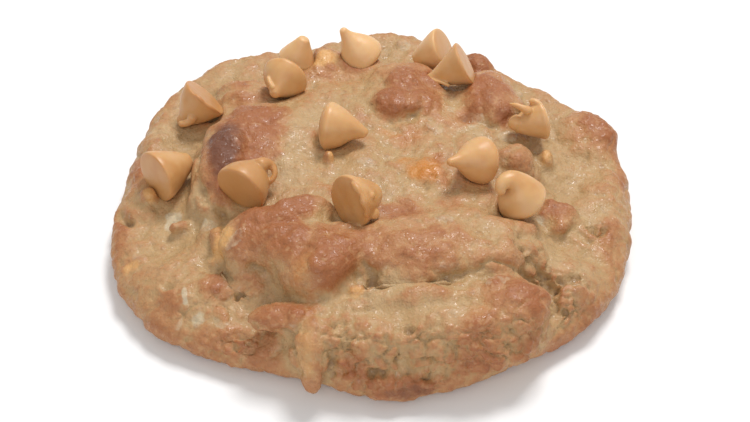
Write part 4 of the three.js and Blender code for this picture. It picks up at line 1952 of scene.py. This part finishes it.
PATCHES = (
    *patches(
        Tone.DARK,
        ("dark bulge", (-30, 3, 18), (5, 7, 6), 1),
        ("dark bulge low", (-30, -4, 19), (4, 8, 7), 0.85),
        ("back right nose tip", (27, 13, 17), (2, 3, 6), 0.5),
        # Browned crust, darkened further by painted shadow under the chip.
        ("under the chip", (20, 14, 15), (2, 2, 6), 0.45),
        ("back nose left", (2, 17, 18), (2, 4, 6), 0.35),
        ("back right nose", (24, 17, 17), (3, 4, 6), 0.35),
        ("beside the chip", (36, -11, 13), (1, 2, 6), 0.3),
        # Painted shade on the foot of the front wall, which faces away from the light.
        ("foot of the front wall", (7, -53, 4), (8, 7, 2), 0.6),
        # Painted shadow under the back chip.
        ("under the back chip", (16, 21, 14), (3, 3, 6), 0.5),
    ),
    *patches(
        Tone.BROWN,
        ("dark bulge", (-29, -1, 19), (6, 10, 9), 0.9),
        ("between the bulge and the lump", (-25, -3, 18), (4, 5, 6), 0.5),
        ("dark bulge lower", (-30, -8, 18), (3, 5, 6), 0.45),
        ("left lump", (-25, 9, 18), (8, 10, 9), 0.95),
        ("left lump right", (-22, 0, 17), (4, 4, 6), 0.45),
        ("left lump back", (-27, 22, 13), (5, 3, 6), 0.45),
        ("small ridge back left", (-28, 28, 14), (2, 3, 6), 0.5),
        ("ridge behind the middle", (-7, 31, 13), (8, 4, 6), 0.35),
        ("nose at the back", (5, 17, 18), (6, 6, 6), 0.65),
        ("nose left", (3, 16, 18), (3, 4, 6), 0.55),
        ("nose top", (8, 24, 17), (7, 7, 6), 0.7),
        ("nose right", (12, 18, 16), (3, 5, 6), 0.5),
        ("back right lump", (23, 37, 10), (4, 7, 7), 0.9),
        ("back right nose", (24, 21, 16), (6, 8, 7), 0.85),
        ("front left lobe's face", (-18, -27, 19), (5, 5, 6), 0.6),
        ("valley's face", (-14, -31, 20), (3, 5, 6), 0.5),
        ("front lobe's face", (-8, -34, 20), (5, 6, 6), 0.5),
        ("back right nose tip", (27, 13, 17), (2, 3, 6), 0.7),
        ("under the chip", (20, 14, 15), (3, 3, 6), 0.6),
        ("right rim lump", (47, 16, 12), (6, 7, 6), 0.5),
        ("right rim lump low", (50, 11, 10), (2, 4, 6), 0.45),
        ("right rim", (51, 3, 8), (2, 7, 7), 0.4),
        ("spot beside the chip", (36, -11, 13), (4, 4, 6), 0.5),
        ("front left lobe", (-20, -20, 19), (7, 6, 6), 0.8),
        ("saddle between the front lobes", (-16, -26, 19), (4, 6, 6), 0.85),
        ("sunken chip's right", (-8, -48, 11), (1, 7, 5), 0.25),
        ("front left lobe back", (-14, -19, 21), (4, 4, 6), 0.95),
        ("front left lobe low", (-24, -26, 19), (4, 6, 6), 0.6),
        ("front lobe", (-8, -29, 20), (8, 7, 6), 0.5),
        ("front lobe nose", (-7, -35, 19), (4, 7, 6), 0.4),
        ("front mass middle", (5, -17, 16), (6, 5, 6), 0.65),
        ("front mass below the chip", (0, -29, 19), (5, 6, 6), 0.45),
        ("front mass", (10, -28, 19), (9, 7, 6), 0.4),
        ("rolled lip", (8, -33, 18), (7, 3, 6), 0.35),
        ("front mass back", (15, -14, 16), (3, 3, 6), 0.4),
        ("shelf end lump", (25, -38, 17), (6, 7, 6), 0.5),
        ("shelf end lump tip", (29, -40, 16), (3, 4, 6), 0.6),
        ("shelf end lump front", (19, -47, 15), (6, 7, 6), 0.4),
        ("front left ridge", (-18, -41, 14), (5, 4, 6), 0.5),
        ("front left ridge right", (-13, -41, 14), (4, 3, 6), 0.45),
        # The front wall is browner where it baked near the tray, and darker still as painted shade.
        ("front wall", (5, -52, 5), (12, 7, 3), 0.55),
        ("front wall left", (-4, -50, 8), (4, 7, 3), 0.6),
        ("front wall right", (19, -49, 8), (6, 7, 4), 0.55),
        ("front wall far right", (28, -46, 10), (4, 7, 4), 0.35),
        ("left front wall", (-29, -43, 6), (9, 7, 3), 0.35),
        ("left wall", (-40, -36, 7), (5, 7, 5), 0.3),
        ("left front wall right", (-20, -44, 7), (5, 4, 6), 0.35),
        ("left rim", (-50, -15, 8), (2, 8, 7), 0.35),
        ("left rim back", (-49, 3, 10), (3, 7, 4), 0.45),
        ("left rim middle", (-47, -22, 8), (2, 3, 6), 0.35),
        ("left field", (-38, -33, 10), (3, 3, 6), 0.25),
        ("foot of the front left lobe", (-21, -30, 13), (4, 7, 3), 0.3),
        ("left field spot", (-30, -31, 9), (3, 4, 6), 0.45),
        ("right flank", (41, -34, 5), (5, 7, 6), 0.35),
        ("right flank low", (35, -40, 3), (4, 7, 4), 0.3),
        ("right rim front", (46, -19, 9), (3, 8, 7), 0.25),
        ("middle right", (19, 2, 16), (2, 2, 6), 0.3),
        ("below the middle chip", (-7, -10, 16), (4, 3, 6), 0.3),
        ("beside the amber", (15, -7, 16), (3, 3, 6), 0.3),
        ("middle lump", (7, 7, 15), (4, 4, 6), 0.35),
        ("middle freckle", (-2, 13, 16), (2, 2, 6), 0.3),
        ("hollow at the back", (14, 11, 16), (6, 6, 6), 0.15),
        ("back left", (-19, 30, 12), (6, 5, 6), 0.25),
        ("beside the melted chip", (13, -1, 16), (2, 3, 6), 0.6),
    ),
    *patches(
        Tone.PALE,
        ("block beside the chip", (28, 4, 15), (4, 4, 6), 0.3),
        ("sunken chip's side", (-11, -50, 10), (2, 7, 5), 0.6),
        ("moist dough at the left", (-42, 14, 9), (7, 8, 7), 0.9),
        ("moist dough below the left chip", (-35, -12, 13), (5, 7, 5), 0.9),
        ("moist left", (-41, -13, 8), (5, 5, 6), 0.7),
        ("left field", (-41, -24, 9), (7, 5, 6), 0.35),
        ("left field low", (-34, -35, 10), (6, 4, 6), 0.4),
        ("foot of the lobe", (-27, -29, 14), (3, 7, 4), 0.6),
        ("behind the middle chip", (-11, 13, 16), (6, 5, 6), 0.8),
        ("middle left", (-15, 6, 17), (5, 9, 8), 0.65),
        ("middle", (-5, -2, 16), (7, 7, 6), 0.45),
        ("beside the loop", (-16, -4, 16), (4, 7, 6), 0.8),
        ("middle right hollow", (4, 3, 15), (7, 5, 6), 0.4),
        ("middle low", (5, -10, 16), (8, 5, 6), 0.5),
        ("hollow right", (21, 9, 15), (3, 4, 6), 0.8),
        ("beside the peg", (35, 4, 14), (4, 7, 7), 0.7),
        ("right field", (39, 1, 9), (6, 8, 7), 0.5),
        ("right field back", (36, 16, 10), (6, 9, 9), 0.6),
        ("hollow below the chip", (33, -21, 12), (4, 7, 5), 0.7),
        ("right flank hollow", (38, -25, 11), (6, 7, 6), 0.45),
        ("right field front", (44, -11, 10), (5, 10, 9), 0.5),
        ("shelf under the lip", (5, -36, 14), (8, 5, 6), 0.9),
        ("shelf", (12, -43, 15), (8, 5, 6), 0.5),
        ("shelf left", (-2, -40, 14), (5, 4, 6), 0.5),
        ("back rim", (2, 45, 10), (9, 4, 6), 0.5),
        ("back rim left", (-10, 45, 10), (5, 3, 6), 0.4),
        ("back left field", (-32, 37, 10), (7, 7, 6), 0.45),
        ("left back rim", (-40, 27, 9), (5, 8, 7), 0.7),
        ("below the lobes", (-19, -31, 14), (4, 7, 3), 0.5),
        ("below the main lobe", (-8, -39, 14), (5, 3, 6), 0.6),
        ("right flank", (40, -30, 10), (4, 5, 6), 0.5),
        ("front", (-8, -49, 10), (5, 4, 6), 0.3),
    ),
    *patches(
        Tone.BUTTER,
        ("sunken chip", (-12, -49, 11), (3, 8, 7), 0.5),
        ("crushed chip", (-29, -24, 17), (3, 4, 6), 1),
        ("crushed chip low", (-30, -22, 12), (2, 7, 2), 0.8),
        ("crushed chip under the left chip", (-45, -5, 11), (2, 3, 6), 0.8),
        ("melted chip at the back", (-11, 35, 15), (4, 3, 6), 1),
        ("crushed chip in the left rim", (-47, -23, 7), (2, 2, 6), 0.7),
        ("peg", (35, 4, 14), (2, 3, 6), 0.7),
        ("bead", (-3, -37, 15), (2, 2, 6), 0.6),
        ("bead by the middle chip", (-9, -1, 18), (1, 2, 6), 1),
    ),
    *patches(
        Tone.GREY,
        ("oat flake", (-35, -33, 11), (1, 3, 6), 0.9),
        ("oat flake low", (-32, -37, 8), (2, 2, 6), 0.7),
        ("oat flake back", (-40, -11, 8), (2, 3, 6), 0.9),
        ("oat flake right", (33, -14, 11), (2, 2, 6), 0.6),
        ("oat flake in the hollow", (16, 16, 15), (2, 2, 6), 0.5),
        ("oat flake by the ridge", (-25, -32, 8), (2, 1, 6), 0.4),
        ("oat at the rim", (-36, -37, 7), (1, 1, 6), 0.5),
    ),
    *patches(
        Tone.AMBER,
        ("melted chip", (10, -5, 17), (4, 4, 6), 0.9),
        ("melted chip's skirt", (10, -2, 16), (6, 6, 6), 0.4),
        ("melted chip at the middle", (3, 9, 15), (2, 2, 6), 0.4),
        ("melted chip left", (6, 0, 15), (2, 2, 6), 0.5),
        ("faint orange", (7, 7, 15), (4, 4, 6), 0.3),
        ("bead", (-3, -37, 15), (2, 2, 6), 0.5),
        ("chip under the skin of the lobe", (-13, -36, 19), (4, 4, 6), 0.4),
        ("lobe foot", (-16, -35, 13), (1, 7, 2), 0.3),
        ("shelf", (18, -42, 16), (3, 3, 6), 0.3),
        ("shelf front", (24, -46, 12), (2, 7, 1), 0.25),
        ("beside chip", (-22, -7, 16), (2, 7, 2), 0.3),
        ("lip", (16, -32, 18), (3, 2, 6), 0.25),
        ("beside the right chip", (29, -4, 15), (3, 7, 2), 0.25),
    ),
    *patches(
        Tone.CALM,
        ("knob beside the right chip", (36, -11, 13), (5, 8, 7), 0.6),
        ("block beside the chip", (28, 1, 17), (4, 4, 6), 0.7),
        ("peg", (35, 4, 14), (2, 3, 6), 0.5),
    ),
    *patches(
        Tone.CRUMB,
        ("fissures of the right flank", (31, -29, 11), (4, 8, 8), 0.9),
        ("right flank", (37, -34, 10), (6, 7, 7), 1),
        ("right front wall", (26, -46, 11), (11, 8, 7), 1),
        ("front wall", (12, -50, 10), (16, 8, 8), 1),
        ("front wall left", (-2, -50, 9), (9, 8, 8), 1),
        ("beside the sunken chip", (-6, -47, 14), (4, 8, 7), 0.8),
        ("left front wall", (-26, -43, 7), (11, 4, 6), 0.8),
        ("left field", (-34, -35, 10), (5, 6, 6), 0.4),
        ("beside the front lobe", (-1, -34, 14), (3, 7, 5), 0.6),
        ("hole in the flank", (43, -16, 10), (4, 3, 6), 0.5),
    ),
)


# ----------------------------------------------------------------------------------------------------
# The studio


@dataclass(frozen=True)
class Lamp:
    """A soft square lamp that looks at the cookie.

    Attributes:
        name: its name.
        at: where it hangs, in metres.
        side: the length of its sides.
        power: its power in watts.
    """

    name: str
    at: Point
    side: float
    power: float

    def build(self, target: Vector) -> None:
        """Hangs the lamp.

        Args:
            target: what it looks at.
        """
        light = bpy.data.lights.new(self.name, "AREA")
        light.energy = self.power
        light.size = self.side
        lamp = bpy.data.objects.new(self.name, light)
        lamp.location = self.at
        lamp.rotation_euler = (target - Vector(self.at)).to_track_quat("-Z", "Y").to_euler()
        bpy.context.scene.collection.objects.link(lamp)


@dataclass
class Studio:
    """A pale floor, soft light and the camera of the photograph.

    Attributes:
        finish: the floor's finish.
        floor_side: the length of the floor's sides, in metres.
        target: what the camera looks at.
        distance: how far away it is.
        looks_down: degrees by which it looks down.
        lens: its focal length in millimetres.
        sensor: the width of its sensor in millimetres.
        nearest: the nearest that it sees, in metres.
        sky: how bright the surroundings are.
        lamps: the lamps.
    """

    finish: PlainFinish
    floor_side: float = 6.0
    target: Point = (0.00015, -0.0074, 0.008)
    distance: float = 0.3
    looks_down: float = 42.0
    lens: float = 72.0
    sensor: float = 36.0
    nearest: float = 0.01
    sky: float = 0.5
    lamps: tuple[Lamp, ...] = (
        Lamp("key", (0.15, 0.35, 0.75), 0.25, 5.0),
        Lamp("fill", (-0.1, -0.8, 0.6), 0.7, 2.8),
    )

    def build(self) -> None:
        """Builds the floor, the light and the camera."""
        half = self.floor_side / 2
        mesh = bpy.data.meshes.new("floor")
        corners = [(-half, -half, 0), (half, -half, 0), (half, half, 0), (-half, half, 0)]
        mesh.from_pydata(corners, [], [(0, 1, 2, 3)])
        mesh.materials.append(self.finish.material())
        floor = placed("floor", mesh)
        self.light()
        self.camera()
        LOG.info("studio: floor, %d lamps and camera", len(self.lamps))

    def light(self) -> None:
        """Lights the scene softly from all round and from the lamps."""
        world = bpy.data.worlds.new("studio")
        world.use_nodes = True
        background = world.node_tree.nodes["Background"].inputs
        background["Color"].default_value = (1.0, 1.0, 1.0, 1.0)
        background["Strength"].default_value = self.sky
        bpy.context.scene.world = world
        for lamp in self.lamps:
            lamp.build(Vector(self.target))
        bpy.context.scene.view_settings.view_transform = "Standard"

    def camera(self) -> None:
        """Puts the camera where the photograph was taken from."""
        down = math.radians(self.looks_down)
        back = Vector((0.0, -math.cos(down), math.sin(down)))
        camera = bpy.data.objects.new("camera", bpy.data.cameras.new("camera"))
        camera.data.lens = self.lens
        camera.data.sensor_width = self.sensor
        camera.data.clip_start = self.nearest
        camera.location = Vector(self.target) + back * self.distance
        camera.rotation_euler = (-back).to_track_quat("-Z", "Y").to_euler()
        bpy.context.scene.collection.objects.link(camera)
        bpy.context.scene.camera = camera


def main() -> None:
    """Builds the cookie and the studio, and logs how many faces the chips and the dough have."""
    logging.basicConfig(level=logging.INFO, format="%(name)s: %(message)s")
    Studio(PlainFinish()).build()
    chips = Chips(ButterscotchFinish(), CHIPS)
    chips.build()
    Dough(DoughFinish(), OatFlakes(), CREASES, MOUNDS, PATCHES).build(chips.pieces)


if __name__ == "__main__":
    main()
